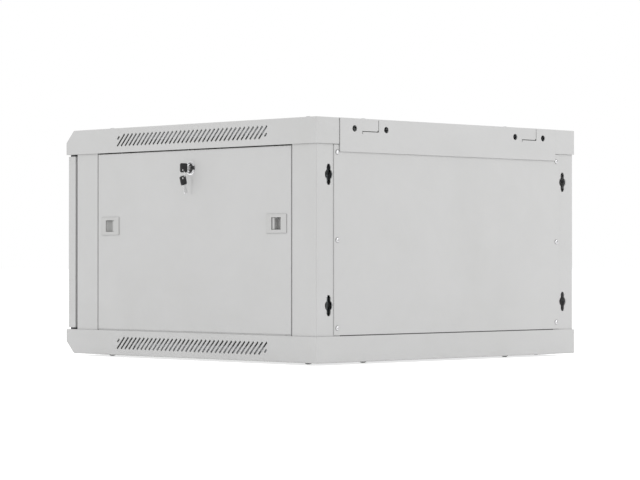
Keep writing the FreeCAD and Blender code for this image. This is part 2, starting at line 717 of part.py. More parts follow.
def side_panel(side):
    """A lift-off panel: a shallow tray with a hook strip along its foot that drops behind the cover."""
    low_y, high_y = FRAME_Y - PANEL_HALF_D, FRAME_Y + PANEL_HALF_D
    outer = box(SIDE_X - PANEL_RETURN, SIDE_X, low_y, high_y, PANEL_Z0, PANEL_Z1)
    rounded = [e for e in outer.Edges if e.BoundBox.XLength < 1 and e.BoundBox.Center.x > SIDE_X - 1]
    outer = outer.makeFillet(PANEL_T, rounded)
    inner = box(SIDE_X - PANEL_RETURN - 1, SIDE_X - PANEL_T, low_y + PANEL_T, high_y - PANEL_T,
                PANEL_Z0 + PANEL_T, PANEL_Z1 - PANEL_T)
    hook_x = SIDE_X - COVER_FIT - PANEL_T
    hook = box(hook_x, hook_x + PANEL_T, low_y + PANEL_HOOK_END, high_y - PANEL_HOOK_END,
               PANEL_Z0 - PANEL_HOOK_H, PANEL_Z0 + PANEL_T)
    cutters = [polygon_bar(BARREL_R + SEAT, V(SIDE_X - 5, FRAME_Y, LOCK_Z), V(1, 0, 0), 10, BARREL_SIDES)]
    for end in ENDS.values():
        middle = FRAME_Y + end * LATCH_Y
        half_w = LATCH_WINDOW_W / 2 + LATCH_WALL + SEAT
        half_h = LATCH_WINDOW_H / 2 + LATCH_WALL + SEAT
        cutters.append(box(SIDE_X - 5, SIDE_X + 1, middle - end * (half_w + LATCH_GAP), middle + end * half_w,
                           LATCH_Z - half_h, LATCH_Z + half_h))
    return mirrored(joined([outer.cut(inner), hook]).cut(cutters), side)


def latch_place(side, end):
    """The centre of a latch on the panel's outer face, with its outward and closing directions."""
    return V(side * SIDE_X, FRAME_Y + end * LATCH_Y, LATCH_Z), V(side, 0, 0), V(0, end, 0)


def latch_guide_z():
    """How far behind the panel's face the latch's bolt slides: just inside the post's return."""
    return -(POST_RETURN + SEAT)


def latch_housing(side, end):
    """The fixed frame of a slide latch: face plate, sleeve through the panel and two guide hooks."""
    half_w, half_h = LATCH_WINDOW_W / 2, LATCH_WINDOW_H / 2
    guide = latch_guide_z()
    shelf = guide + 2 * SEAT
    hook = guide - LATCH_BOLT_T - SEAT
    plate = box(-LATCH_PLATE_W / 2, LATCH_PLATE_W / 2, -LATCH_PLATE_H / 2, LATCH_PLATE_H / 2, 0, LATCH_PROUD)
    rim = [e for e in plate.Edges if e.BoundBox.ZLength < 0.1 and e.BoundBox.Center.z > LATCH_PROUD - 0.1]
    plate = plate.makeChamfer(LATCH_PROUD / 3, rim)
    near, far = -half_w - LATCH_GAP - LATCH_WALL, half_w + LATCH_WALL
    outer_h = half_h + LATCH_WALL
    pieces = [plate, box(near, far, -outer_h, outer_h, shelf, 0)]
    for up in (-1, 1):
        wall_in, wall_out = up * (outer_h + SEAT), up * (outer_h + LATCH_WALL + SEAT)
        pieces.append(box(near, far, up * (half_h + 0.5), wall_out, shelf, shelf + LATCH_WALL))
        pieces.append(box(near, far, wall_in, wall_out, hook - LATCH_WALL, shelf + LATCH_WALL))
        pieces.append(box(near, far, up * (LATCH_BOLT_H / 2 + LATCH_WALL), wall_out, hook - LATCH_WALL, hook))
    window = box(-half_w, half_w, -half_h, half_h, -1, LATCH_PROUD + 1)
    cavity = box(-half_w - LATCH_GAP, half_w, -half_h, half_h, guide - 1, 0)
    return facing(joined(pieces).cut([window, cavity]), *latch_place(side, end))


def latch_slider(side, end):
    """The sliding part: a finger scoop behind a rib, a guided base and the bolt behind the post."""
    guide = latch_guide_z()
    half_h = LATCH_WINDOW_H / 2 - SEAT
    face = -SEAT
    rib_start = -LATCH_WINDOW_W / 2
    rib_end = rib_start + LATCH_RIB
    ramp_end = LATCH_WINDOW_W / 2 - SEAT
    deep = face - LATCH_SCOOP
    top = V(ramp_end - 1.0, 0, face)
    middle = V((rib_end + ramp_end) / 2 + 2.0, 0, deep + LATCH_SCOOP * 0.22)
    corners = [V(ramp_end, 0, guide), V(rib_start, 0, guide), V(rib_start, 0, face), V(rib_end, 0, face),
               V(rib_end, 0, deep)]
    edges = [Part.makeLine(a, b) for a, b in zip(corners, corners[1:])]
    edges.append(Part.Arc(corners[-1], middle, top).toShape())
    edges += [Part.makeLine(top, V(ramp_end, 0, face)), Part.makeLine(V(ramp_end, 0, face), corners[0])]
    body = Part.Face(Part.Wire(edges)).extrude(V(0, 2 * half_h, 0))
    body.translate(V(0, -half_h, 0))
    base_h = LATCH_WINDOW_H / 2 + LATCH_WALL
    base = box(rib_start, ramp_end, -base_h, base_h, guide - LATCH_BOLT_T, guide + SEAT)
    reach = LATCH_INSET + PANEL_SEAM + LATCH_CATCH
    tongue = box(rib_start, reach, -LATCH_BOLT_H / 2, LATCH_BOLT_H / 2, guide - LATCH_BOLT_T, guide)
    nose = [e for e in tongue.Edges if e.BoundBox.XLength < 0.1 and e.BoundBox.Center.x > reach - 0.1
            and e.BoundBox.Center.z > guide - 0.1]
    tongue = tongue.makeChamfer(LATCH_BOLT_T / 3, nose)
    return facing(joined([body, base, tongue]), *latch_place(side, end))


# ---- cam locks and keys, made looking along +z with the cam towards +x -----------------------------------

def lock_housing(barrel_l):
    """A round bezel with a bevelled rim, and the barrel behind it."""
    bezel = rod(BEZEL_R, V(), V(0, 0, 1), BEZEL_H)
    rim = [e for e in bezel.Edges if e.BoundBox.ZMin > BEZEL_H - 0.1 and e.BoundBox.XLength > BEZEL_R]
    bezel = bezel.makeChamfer(BEZEL_H / 2, rim)
    barrel = polygon_bar(BARREL_R, V(0, 0, -barrel_l), V(0, 0, 1), barrel_l, BARREL_SIDES)
    bore = polygon_bore(PLUG_R + RUN, V(0, 0, -barrel_l - 1), V(0, 0, 1), barrel_l + BEZEL_H + 2,
                        BORE_SIDES)
    return joined([bezel, barrel]).cut(bore)


def lock_nut(panel_t):
    """The hexagon nut that clamps a lock behind a sheet."""
    low = -panel_t - LOCK_NUT_T
    nut = polygon_bar(LOCK_NUT_AF / math.sqrt(3), V(0, 0, low), V(0, 0, 1), LOCK_NUT_T, 6)
    return nut.cut(polygon_bar(BARREL_R + RUN, V(0, 0, low - 1), V(0, 0, 1), LOCK_NUT_T + 2, BARREL_SIDES))


def spindle(half_w, low, high):
    """The square end that carries the cam, or the hole for it."""
    return box(-half_w, half_w, -half_w, half_w, low, high)


def lock_plug(barrel_l):
    """The turning core with a key slot in front and a square spindle for the cam behind."""
    core = rod(PLUG_R, V(0, 0, -barrel_l), V(0, 0, 1), barrel_l + BEZEL_H + PLUG_PROUD)
    tail = spindle(SPINDLE_W / 2, -barrel_l - SEAT - CAM_T - SPINDLE_END, -barrel_l)
    half_w, half_t = BLADE_W / 2 + RUN, BLADE_T / 2 + RUN
    keyway = box(-half_w, half_w, -half_t, half_t, BEZEL_H + PLUG_PROUD - BLADE_IN - SEAT, BEZEL_H + 5)
    return joined([core, tail]).cut(keyway)


def lock_cam(barrel_l, length):
    """The flat cam on the spindle's end, rounded at both ends."""
    low = -barrel_l - SEAT - CAM_T
    outline = slot_outline((0, 0), (length - CAM_W / 2, 0), CAM_W, flats=3)
    return prism(outline, "z", low, low + CAM_T).cut(spindle(SPINDLE_W / 2 + RUN, low - 1, low + CAM_T + 1))


def side_lock_place(side):
    """A side lock's centre on its panel, outward, with the cam pointing up."""
    return V(side * SIDE_X, FRAME_Y, LOCK_Z), V(side, 0, 0), V(0, 0, 1)


def door_lock_place():
    """The door lock's centre, outward, with the cam hanging down in its unlocked position."""
    return V(-DOOR_LOCK_X, DOOR_FRONT_Y, MIDDLE_Z), V(0, -1, 0), V(0, 0, -1)


def side_lock_catch(side):
    """A folded bracket inside the top cover's flange that the side lock's cam stands behind."""
    shelf_z = LOCK_Z + SIDE_CAM_L + SEAT
    wall_x = CABINET_W / 2 - COVER_T
    lip_x = SIDE_X - SIDE_BARREL_L + 1.0
    path = [(shelf_z + CATCH_H, wall_x - CATCH_T), (shelf_z + CATCH_T, wall_x - CATCH_T),
            (shelf_z + CATCH_T, lip_x + CATCH_T)]
    start = FRAME_Y - CATCH_W / 2
    shelf = folded_sheet(path, CATCH_T, "y", start, start + CATCH_W, SHARP_BENDS)
    lip = box(lip_x, lip_x + CATCH_T, start, start + CATCH_W, shelf_z - CATCH_H, shelf_z + CATCH_T)
    return mirrored(joined([shelf, lip]), side)


def rounded_plate(width, height, thickness, radius):
    """A flat plate in the local x-z plane, centred on its middle, with rounded corners."""
    plate = box(-width / 2, width / 2, -thickness / 2, thickness / 2, -height / 2, height / 2)
    corners = [e for e in plate.Edges if e.BoundBox.YLength > thickness / 2 and e.BoundBox.XLength < 0.01
               and e.BoundBox.ZLength < 0.01]
    return plate.makeFillet(radius, corners)


def key_ring_x():
    """Distance of the key ring's wire from the middle plane."""
    return SIDE_X + BEZEL_H + PLUG_PROUD + KEY_HEAD_STANDOFF - 1.0 + KEY_HOLE_OUT


def key_hole(x, z):
    """Cutter for a ring hole through a key's head."""
    return rod(KEY_HOLE_R, V(x, FRAME_Y - KEY_T, z), V(0, 1, 0), 2 * KEY_T)


def key_hole_z():
    """Height of the ring hole in the inserted key's head."""
    return LOCK_Z - KEY_HOLE_DROP


def inserted_key():
    """The key in the right side lock: blade in the plug, moulded head standing out of it."""
    face = SIDE_X + BEZEL_H + PLUG_PROUD
    head_x = face + KEY_HEAD_STANDOFF - 1.0
    head = rounded_plate(KEY_HEAD_W, KEY_HEAD_H, KEY_T, KEY_CORNER_R)
    head.translate(V(head_x + KEY_HEAD_W / 2, FRAME_Y, LOCK_Z))
    half_w, half_t = BLADE_W / 2, BLADE_T / 2
    blade = box(face - BLADE_IN, head_x + 1, FRAME_Y - half_t, FRAME_Y + half_t,
                LOCK_Z - half_w, LOCK_Z + half_w)
    return joined([head, blade]).cut(key_hole(key_ring_x(), key_hole_z()))


def wire_drop():
    """How far the ring's wire lies from the middle of a key's hole."""
    return KEY_HOLE_R - RING_W / 2 - SEAT


def ring_top_z():
    """Height of the ring's wire where it hangs in the inserted key."""
    return key_hole_z() - wire_drop()


def key_ring():
    """A flat ring that hangs in the inserted key's hole, its plane across the cabinet's side."""
    centre = V(key_ring_x() - RING_T / 2, FRAME_Y, ring_top_z() - RING_R)
    outer = polygon_bar(RING_R + RING_W / 2, centre, V(1, 0, 0), RING_T, RING_SIDES)
    inner = polygon_bar(RING_R - RING_W / 2, centre - V(1, 0, 0), V(1, 0, 0), RING_T + 2, RING_SIDES)
    return outer.cut(inner)


def spare_key_pivot():
    """The middle of the spare key's hole, which hangs on the wire at the foot of the ring."""
    return V(key_ring_x(), FRAME_Y, ring_top_z() - 2 * RING_R - wire_drop())


def spare_key():
    """The second key on the ring, leaning a little towards the panel."""
    pivot = spare_key_pivot()
    foot = pivot.z + SPARE_HOLE_DROP - SPARE_BOW_H
    bow = rounded_plate(SPARE_BOW_W, SPARE_BOW_H, KEY_T, KEY_CORNER_R)
    bow.translate(V(pivot.x, pivot.y, foot + SPARE_BOW_H / 2))
    half_w, half_t = BLADE_W / 2, BLADE_T / 2
    blade = box(pivot.x - half_w, pivot.x + half_w, pivot.y - half_t, pivot.y + half_t,
                foot - SPARE_BLADE_L, foot + 1)
    key = joined([bow, blade]).cut(key_hole(pivot.x, pivot.z))
    key.rotate(pivot, V(0, 1, 0), SPARE_TILT)
    return key


# ---- door ------------------------------------------------------------------------------------------------

def door_frame():
    """A folded steel frame, open in the middle for the glass, with closed stiffening edges behind."""
    front, back = DOOR_FRONT_Y, DOOR_BACK_Y
    outer = box(-DOOR_HALF_W, DOOR_HALF_W, front, back, DOOR_Z0, DOOR_Z1)
    rounded = [e for e in outer.Edges if abs(e.BoundBox.Center.y - front) < 0.1]
    outer = outer.makeFillet(BEND_R, rounded)
    inner = box(-DOOR_HALF_W + DOOR_T, DOOR_HALF_W - DOOR_T, front + DOOR_T, back + 1,
                DOOR_Z0 + DOOR_T, DOOR_Z1 - DOOR_T)
    opening = box(-DOOR_HALF_W + DOOR_STILE_W, DOOR_HALF_W - DOOR_STILE_W, front - 1, front + 5,
                  DOOR_Z0 + DOOR_BORDER_H, DOOR_Z1 - DOOR_BORDER_H)
    pieces = [outer.cut(inner)]
    for side in SIDES.values():
        edge = side * DOOR_HALF_W
        pieces.append(box(edge - side * DOOR_T / 2, edge - side * DOOR_BACK_LIP, back - DOOR_T, back,
                          DOOR_Z0 + DOOR_T / 2, DOOR_Z1 - DOOR_T / 2))
    frame = joined(pieces)
    lock_hole = polygon_bar(BARREL_R + SEAT, V(-DOOR_LOCK_X, front - 1, MIDDLE_Z), V(0, 1, 0), 5,
                            BARREL_SIDES)
    bush_holes = [polygon_bar(HINGE_BUSH_R + RUN, V(HINGE_X, HINGE_Y, z - 3), V(0, 0, 1), 6, HINGE_SIDES)
                  for z in (DOOR_Z0, DOOR_Z1)]
    return frame.cut([opening, lock_hole] + bush_holes)


def glass_half_size():
    """Half width, low z and high z of the pane behind the door's opening."""
    half = DOOR_HALF_W - DOOR_STILE_W + GLASS_OVERLAP
    rise = DOOR_BORDER_H - GLASS_OVERLAP
    return half, DOOR_Z0 + rise, DOOR_Z1 - rise


def door_seal():
    """The foam tape between the frame and the pane."""
    half, low, high = glass_half_size()
    front = DOOR_FRONT_Y + DOOR_T
    outer = box(-half, half, front, front + SEAL_T, low, high)
    return outer.cut(box(-half + SEAL_W, half - SEAL_W, front - 1, front + SEAL_T + 1,
                         low + SEAL_W, high - SEAL_W))


def door_glass():
    """The tempered pane."""
    half, low, high = glass_half_size()
    front = DOOR_FRONT_Y + DOOR_T + SEAL_T
    return box(-half, half, front, front + GLASS_T, low, high)


def glass_clips():
    """Six folded clips that hold the pane against the frame from behind."""
    half, low, high = glass_half_size()
    front = DOOR_FRONT_Y + DOOR_T
    rear = front + SEAL_T + GLASS_T
    clips = []
    for side in SIDES.values():
        for share in (0.15, 0.5, 0.85):
            z = low + share * (high - low) - CLIP_W / 2
            foot = half + SEAT
            path = [(foot + CLIP_GRIP, front + CLIP_T), (foot + CLIP_T, front + CLIP_T),
                    (foot + CLIP_T, rear), (half - CLIP_GRIP, rear)]
            tongue = box(half - CLIP_GRIP, foot + CLIP_T, rear, rear + CLIP_T, z, z + CLIP_W)
            wall = box(foot, foot + CLIP_T, front, rear + CLIP_T, z, z + CLIP_W)
            base = box(path[0][0], foot, front, front + CLIP_T, z, z + CLIP_W)
            clips.append(mirrored(joined([tongue, wall, base]), side))
    return group(clips)


def hinge_bush(z, inward):
    """A flanged bush in the door's edge; inward is the way into the door."""
    base = V(HINGE_X, HINGE_Y, z)
    collar = polygon_bar(HINGE_BUSH_FLANGE_R, base + V(0, 0, inward * DOOR_T), V(0, 0, inward), 2.0,
                         HINGE_SIDES)
    body = polygon_bar(HINGE_BUSH_R, base, V(0, 0, inward), DOOR_T + 2.0, HINGE_SIDES)
    bore = polygon_bore(HINGE_PIN_R + RUN, base - V(0, 0, inward), V(0, 0, inward), DOOR_T + 5.0,
                        BORE_SIDES)
    return joined([collar, body]).cut(bore)


def bottom_hinge_pin():
    """The fixed pin: riveted in the bottom cover's lip, with a collar that carries the door."""
    axis = V(0, 0, 1)
    foot_z = FLANGE_H - COVER_T - HINGE_PIN_HEAD
    collar_h = DOOR_GAP - SEAT
    foot = polygon_bar(HINGE_BUSH_R, V(HINGE_X, HINGE_Y, foot_z), axis, HINGE_PIN_HEAD, HINGE_SIDES)
    neck = polygon_bar(HINGE_PIN_R, V(HINGE_X, HINGE_Y, foot_z), axis, HINGE_PIN_HEAD + COVER_T, HINGE_SIDES)
    collar = polygon_bar(HINGE_BUSH_R, V(HINGE_X, HINGE_Y, FLANGE_H), axis, collar_h, HINGE_SIDES)
    shank = rod(HINGE_PIN_R, V(HINGE_X, HINGE_Y, FLANGE_H + collar_h), axis, HINGE_PIN_IN)
    return joined([foot, neck, collar, shank])


def hinge_pin_bracket():
    """The folded guide inside the door's top corner that the sprung pin slides in."""
    half = BRACKET_W / 2
    back = DOOR_BACK_Y - DOOR_T
    low = DOOR_Z1 - BRACKET_DROP
    shelf = box(HINGE_X - half, HINGE_X + half, DOOR_FRONT_Y + DOOR_T, back, low, low + DOOR_T)
    wall = box(HINGE_X - half, HINGE_X + half, back - DOOR_T, back, low, low + BRACKET_W)
    hole = polygon_bar(HINGE_PIN_R + SEAT, V(HINGE_X, HINGE_Y, low - 1), V(0, 0, 1), DOOR_T + 2, HINGE_SIDES)
    return joined([shelf, wall]).cut(hole)


def top_hinge_pin():
    """The sprung pin with a bent finger pull; drawn down it frees the door from the top cover."""
    top = CABINET_H - FLANGE_H + COVER_T
    pin = rod(HINGE_PIN_R, V(HINGE_X, HINGE_Y, top - TOP_PIN_L), V(0, 0, 1), TOP_PIN_L)
    pull_z = top - TOP_PIN_L + HINGE_PIN_R
    pull = polygon_bar(HINGE_PIN_R * 0.8, V(HINGE_X, HINGE_Y, pull_z), V(-1, 0, 0), TOP_PIN_PULL, HEAD_SIDES)
    return joined([pin, pull])


# ---- every node ------------------------------------------------------------------------------------------

def build_nodes():
    """All pieces by node name."""
    nodes = {
        "top_cover": top_cover(),
        "bottom_cover": bottom_cover(),
        "rear_top_crossbar": rear_top_crossbar(),
        "rear_bottom_crossbar": rear_bottom_crossbar(),
        "rear_panel": rear_panel(),
        "rear_panel_screws": rear_panel_screws(),
        "rail_bolts": rail_bolts(),
    }
    for level_name, level in LEVELS.items():
        nodes[f"cover_bolts_{level_name}"] = cover_bolts(level)
        nodes[f"cable_entry_plate_{level_name}"] = cable_entry_plate(level)
    for side_name, side in SIDES.items():
        nodes[f"side_panel_{side_name}"] = side_panel(side)
        for end_name, end in ENDS.items():
            nodes[f"{end_name}_post_{side_name}"] = post(side, end)
            nodes[f"rack_rail_{end_name}_{side_name}"] = rack_rail(side, end)
            nodes[f"latch_housing_{end_name}_{side_name}"] = latch_housing(side, end)
            nodes[f"latch_slider_{end_name}_{side_name}"] = latch_slider(side, end)
        for level_name, level in LEVELS.items():
            nodes[f"depth_rail_{level_name}_{side_name}"] = depth_rail(side, level)
        place = side_lock_place(side)
        nodes[f"side_lock_housing_{side_name}"] = facing(lock_housing(SIDE_BARREL_L), *place)
        nodes[f"side_lock_plug_{side_name}"] = facing(lock_plug(SIDE_BARREL_L), *place)
        nodes[f"side_lock_cam_{side_name}"] = facing(lock_cam(SIDE_BARREL_L, SIDE_CAM_L), *place)
    nodes["side_lock_nuts"] = group([facing(lock_nut(PANEL_T), *side_lock_place(s)) for s in SIDES.values()])
    nodes["side_lock_catches"] = group([side_lock_catch(s) for s in SIDES.values()])
    nodes["inserted_key"] = inserted_key()
    nodes["key_ring"] = key_ring()
    nodes["spare_key"] = spare_key()
    nodes["door_frame"] = door_frame()
    nodes["door_seal"] = door_seal()
    nodes["door_glass"] = door_glass()
    nodes["glass_clips"] = glass_clips()
    nodes["hinge_bushes"] = group([hinge_bush(DOOR_Z0, 1), hinge_bush(DOOR_Z1, -1)])
    nodes["bottom_hinge_pin"] = bottom_hinge_pin()
    nodes["top_hinge_pin"] = top_hinge_pin()
    nodes["hinge_pin_bracket"] = hinge_pin_bracket()
    nodes["door_lock_housing"] = facing(lock_housing(DOOR_BARREL_L), *door_lock_place())
    nodes["door_lock_nut"] = facing(lock_nut(DOOR_T), *door_lock_place())
    nodes["door_lock_plug"] = facing(lock_plug(DOOR_BARREL_L), *door_lock_place())
    nodes["door_lock_cam"] = facing(lock_cam(DOOR_BARREL_L, DOOR_CAM_L), *door_lock_place())
    return nodes


def main():
    """Build every node, move it to the row's origin and write its STEP file."""
    os.makedirs("parts", exist_ok=True)
    for name, shape in build_nodes().items():
        shape.translate(ORIGIN * -1)
        shape.exportStep(os.path.join("parts", f"{name}.step"))


if __name__ == "__main__":
    main()
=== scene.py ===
"""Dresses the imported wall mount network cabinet: finishes, fasteners, locks, keys, latches, door and studio.

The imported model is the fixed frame. Every place comes from its boxes, in metres, with +Y into the wall, +Z up
and the door at -Y. Sheet-metal nodes keep their solids and get a finish. Small moulded and turned parts are
replaced by finer pieces at the same place.
"""
import json
import logging
import math
from dataclasses import dataclass, field
from enum import Enum
from typing import Callable, Iterable, Sequence

import bmesh
import bpy
from bmesh.types import BMEdge, BMesh
from bpy.types import ID, Material, Node, NodeSocket, Object
from mathutils import Matrix, Vector

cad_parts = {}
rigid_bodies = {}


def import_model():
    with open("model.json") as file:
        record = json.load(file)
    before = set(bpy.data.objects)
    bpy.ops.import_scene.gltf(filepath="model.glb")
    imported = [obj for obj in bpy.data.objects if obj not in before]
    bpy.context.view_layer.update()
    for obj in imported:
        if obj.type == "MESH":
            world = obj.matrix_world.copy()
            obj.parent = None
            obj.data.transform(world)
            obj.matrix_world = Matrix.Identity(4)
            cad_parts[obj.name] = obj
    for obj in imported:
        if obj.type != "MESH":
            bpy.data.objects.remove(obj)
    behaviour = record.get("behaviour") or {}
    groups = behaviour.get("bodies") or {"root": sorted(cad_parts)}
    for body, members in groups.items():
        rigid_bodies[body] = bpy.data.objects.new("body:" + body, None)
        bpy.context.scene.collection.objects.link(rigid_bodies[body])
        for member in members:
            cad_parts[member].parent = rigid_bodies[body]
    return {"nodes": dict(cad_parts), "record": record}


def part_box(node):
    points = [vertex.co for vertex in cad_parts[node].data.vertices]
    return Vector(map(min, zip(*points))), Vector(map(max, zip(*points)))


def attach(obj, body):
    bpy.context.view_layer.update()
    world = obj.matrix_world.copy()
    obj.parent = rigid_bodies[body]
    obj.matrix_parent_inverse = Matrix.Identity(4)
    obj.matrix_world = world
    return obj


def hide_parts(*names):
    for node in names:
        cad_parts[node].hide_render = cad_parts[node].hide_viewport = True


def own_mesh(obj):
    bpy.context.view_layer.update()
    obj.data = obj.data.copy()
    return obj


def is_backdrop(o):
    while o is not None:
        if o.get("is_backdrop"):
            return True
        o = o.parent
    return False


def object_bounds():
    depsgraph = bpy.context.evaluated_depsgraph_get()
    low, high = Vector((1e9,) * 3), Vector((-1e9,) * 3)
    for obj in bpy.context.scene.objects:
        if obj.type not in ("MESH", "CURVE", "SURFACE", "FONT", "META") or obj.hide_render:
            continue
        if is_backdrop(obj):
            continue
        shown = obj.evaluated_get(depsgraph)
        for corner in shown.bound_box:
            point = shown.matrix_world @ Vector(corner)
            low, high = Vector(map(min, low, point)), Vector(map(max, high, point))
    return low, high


LOG = logging.getLogger("network_cabinet")
MM = 0.001
X_AXIS = Vector((1, 0, 0))
Y_AXIS = Vector((0, 1, 0))
Z_AXIS = Vector((0, 0, 1))
# Corners closer than these are one corner: on a copied solid, on a turned shape and on a cut shape.
COPY_MERGE, TURNED_MERGE, CUT_MERGE = 0.002 * MM, 0.001 * MM, 0.0005 * MM
# Faces that meet flatter than the first angle are joined, and flatter than the second they look like one
# round surface. Edges sharper than the third get rounded.
FLAT_ANGLE, SMOOTH_ANGLE, SHARP_ANGLE = math.radians(1), math.radians(32), math.radians(40)
# A cutter reaches this far past the face that it cuts.
OVERRUN = 1 * MM


class Named(Enum):
    """A choice whose name is part of node names."""

    @property
    def label(self) -> str:
        """The word used in node names."""
        return self.name.lower()


class Side(Named):
    """The two sides of the cabinet, with the sign of their x."""

    LEFT = -1
    RIGHT = 1


class End(Named):
    """The door end and the wall end, with the sign of their y."""

    FRONT = -1
    REAR = 1


# ---- shader node groups ----


class NodeTree:
    """A thin wrapper that adds and feeds the nodes of one tree."""

    def __init__(self, tree: bpy.types.NodeTree) -> None:
        """Starts from an empty tree."""
        self.tree = tree
        self.tree.nodes.clear()

    def add(self, kind: str, *fed: object, **settings: object) -> Node:
        """Adds a shader node.

        Args:
            kind: the node's type name without its "ShaderNode", such as "TexNoise".
            fed: what its first input sockets get, in order, as feed takes it.
            settings: attributes of the node, and what other input sockets get by name with spaces as "_".

        Returns:
            The new node.
        """
        node = self.tree.nodes.new(f"ShaderNode{kind}")
        attributes = [name for name in settings if hasattr(node, name)]
        for name in attributes:
            setattr(node, name, settings.pop(name))
        for socket, value in zip(node.inputs, fed):
            self.feed(socket, value)
        for name, value in settings.items():
            self.feed(self.in_use(node.inputs, name.replace("_", " ")), value)
        return node

    def feed(self, socket: NodeSocket, value: object) -> None:
        """Gives a socket its value or its link.

        Args:
            socket: the input socket of a node.
            value: its value, or for a link a node, which gives its first output, or (node, output name).
        """
        if isinstance(value, Node):
            value = (value, next(plug.name for plug in value.outputs if plug.enabled))
        if isinstance(value, tuple) and isinstance(value[0], Node):
            self.tree.links.new(self.in_use(value[0].outputs, value[1]), socket)
        else:
            socket.default_value = value

    def in_use(self, sockets: Iterable[NodeSocket], name: str) -> NodeSocket:
        """Returns the socket of that name that the node's settings leave in use."""
        return next(socket for socket in sockets if socket.name == name and socket.enabled)


class GroupTree(NodeTree):
    """The tree of a node group, with the two nodes at its ends."""

    def __init__(self, tree: bpy.types.NodeTree) -> None:
        """Adds the end nodes to an empty tree."""
        super().__init__(tree)
        self.source, self.sink = tree.nodes.new("NodeGroupInput"), tree.nodes.new("NodeGroupOutput")

    def give(self, **fed: object) -> None:
        """Feeds the group's outputs by their names."""
        for name, value in fed.items():
            self.feed(self.in_use(self.sink.inputs, name), value)


@dataclass(frozen=True)
class GroupBuilder:
    """Builds a named shader node group once and hands it out again after that.

    Every group takes a Vector, and each further input has a name and a default.
    """

    name: str
    inputs: tuple[tuple[str, object], ...]
    outputs: tuple[str, ...]
    fill: Callable[[GroupTree], None]

    def group(self) -> bpy.types.NodeTree:
        """Builds the node group on first use.

        Returns:
            The node group.
        """
        known = bpy.data.node_groups.get(self.name)
        if known is not None:
            return known
        group = bpy.data.node_groups.new(self.name, "ShaderNodeTree")
        group.interface.new_socket("Vector", in_out="INPUT", socket_type="NodeSocketVector")
        for name, value in self.inputs:
            kind = "NodeSocketVector" if isinstance(value, tuple) else "NodeSocketFloat"
            group.interface.new_socket(name, in_out="INPUT", socket_type=kind).default_value = value
        for name in self.outputs:
            group.interface.new_socket(name, in_out="OUTPUT", socket_type="NodeSocketFloat")
        self.fill(GroupTree(group))
        return group


def fill_grain(tree: GroupTree) -> None:
    """Fine and coarse noise as a height and a mask, for powder coat and moulded plastic.

    Args:
        tree: the group's tree.
    """
    place, coarse_share = (tree.source, "Vector"), 0.15
    fine = tree.add("TexNoise", Vector=place, Scale=(tree.source, "Grain Scale"), Detail=2.0, Roughness=0.55)
    coarse = tree.add("TexNoise", Vector=place, Scale=14.0, Detail=3.0, Roughness=0.6)
    height = tree.add("Math", coarse, coarse_share, fine, operation="MULTIPLY_ADD")
    spread = tree.add("MapRange", Value=coarse, From_Min=0.3, From_Max=0.7)
    tree.give(Height=height, Mask=spread)


def fill_brushed(tree: GroupTree) -> None:
    """Rolling lines along one direction with faint zinc flowers, for plated sheet and turned metal.

    Args:
        tree: the group's tree.
    """
    place, flower_share = (tree.source, "Vector"), 0.35
    stretch = tree.add("VectorMath", place, (tree.source, "Stretch"), operation="MULTIPLY")
    lines = tree.add("TexNoise", Vector=stretch, Scale=1.0, Detail=4.0, Roughness=0.7)
    flowers = tree.add("TexVoronoi", Vector=place, feature="F1", Scale=90.0)
    tone = tree.add("Math", (flowers, "Color"), flower_share, lines, operation="MULTIPLY_ADD")
    tree.give(Height=lines, Mask=tone)


def fill_handling(tree: GroupTree) -> None:
    """Soft cloudy patches of dust and handling, as a mask between nought and one.

    Args:
        tree: the group's tree.
    """
    clouds = tree.add("TexNoise", Vector=(tree.source, "Vector"), Scale=5.0, Detail=5.0, Roughness=0.65,
                      Distortion=0.4)
    spread = tree.add("MapRange", Value=clouds, From_Min=0.42, From_Max=0.74)
    amount = tree.add("Math", spread, (tree.source, "Amount"), operation="MULTIPLY")
    tree.give(Mask=amount)


def fill_grime(tree: GroupTree) -> None:
    """Painted shade: a mask from ambient occlusion, made uneven by noise, that darkens colour in joints, slots
    and pockets, where surfaces lie close to each other.

    Args:
        tree: the group's tree.
    """
    closeness = tree.add("AmbientOcclusion", Distance=(tree.source, "Reach"), samples=6)
    spread = tree.add("MapRange", Value=(closeness, "AO"), From_Min=0.9, From_Max=0.3)
    clouds = tree.add("TexNoise", Vector=(tree.source, "Vector"), Scale=160.0, Detail=2.0)
    patch = tree.add("MapRange", Value=clouds, From_Min=0.2, From_Max=0.8, To_Min=0.75, To_Max=1.0)
    uneven = tree.add("Math", spread, patch, operation="MULTIPLY")
    amount = tree.add("Math", uneven, (tree.source, "Amount"), operation="MULTIPLY")
    tree.give(Mask=amount)


GRAIN = GroupBuilder("coat_grain", (("Grain Scale", 1200.0),), ("Height", "Mask"), fill_grain)
BRUSHED = GroupBuilder("rolled_lines", (("Stretch", (600.0,) * 3),), ("Height", "Mask"), fill_brushed)
# Painted shade: darkening by ambient occlusion in joints, slots and pockets.
PAINTED_SHADE = GroupBuilder("dust_in_joints", (("Reach", 4 * MM), ("Amount", 0.5)), ("Mask",), fill_grime)
HANDLING = GroupBuilder("dust_and_handling", (("Amount", 1.0),), ("Mask",), fill_handling)


# ---- finishes ----


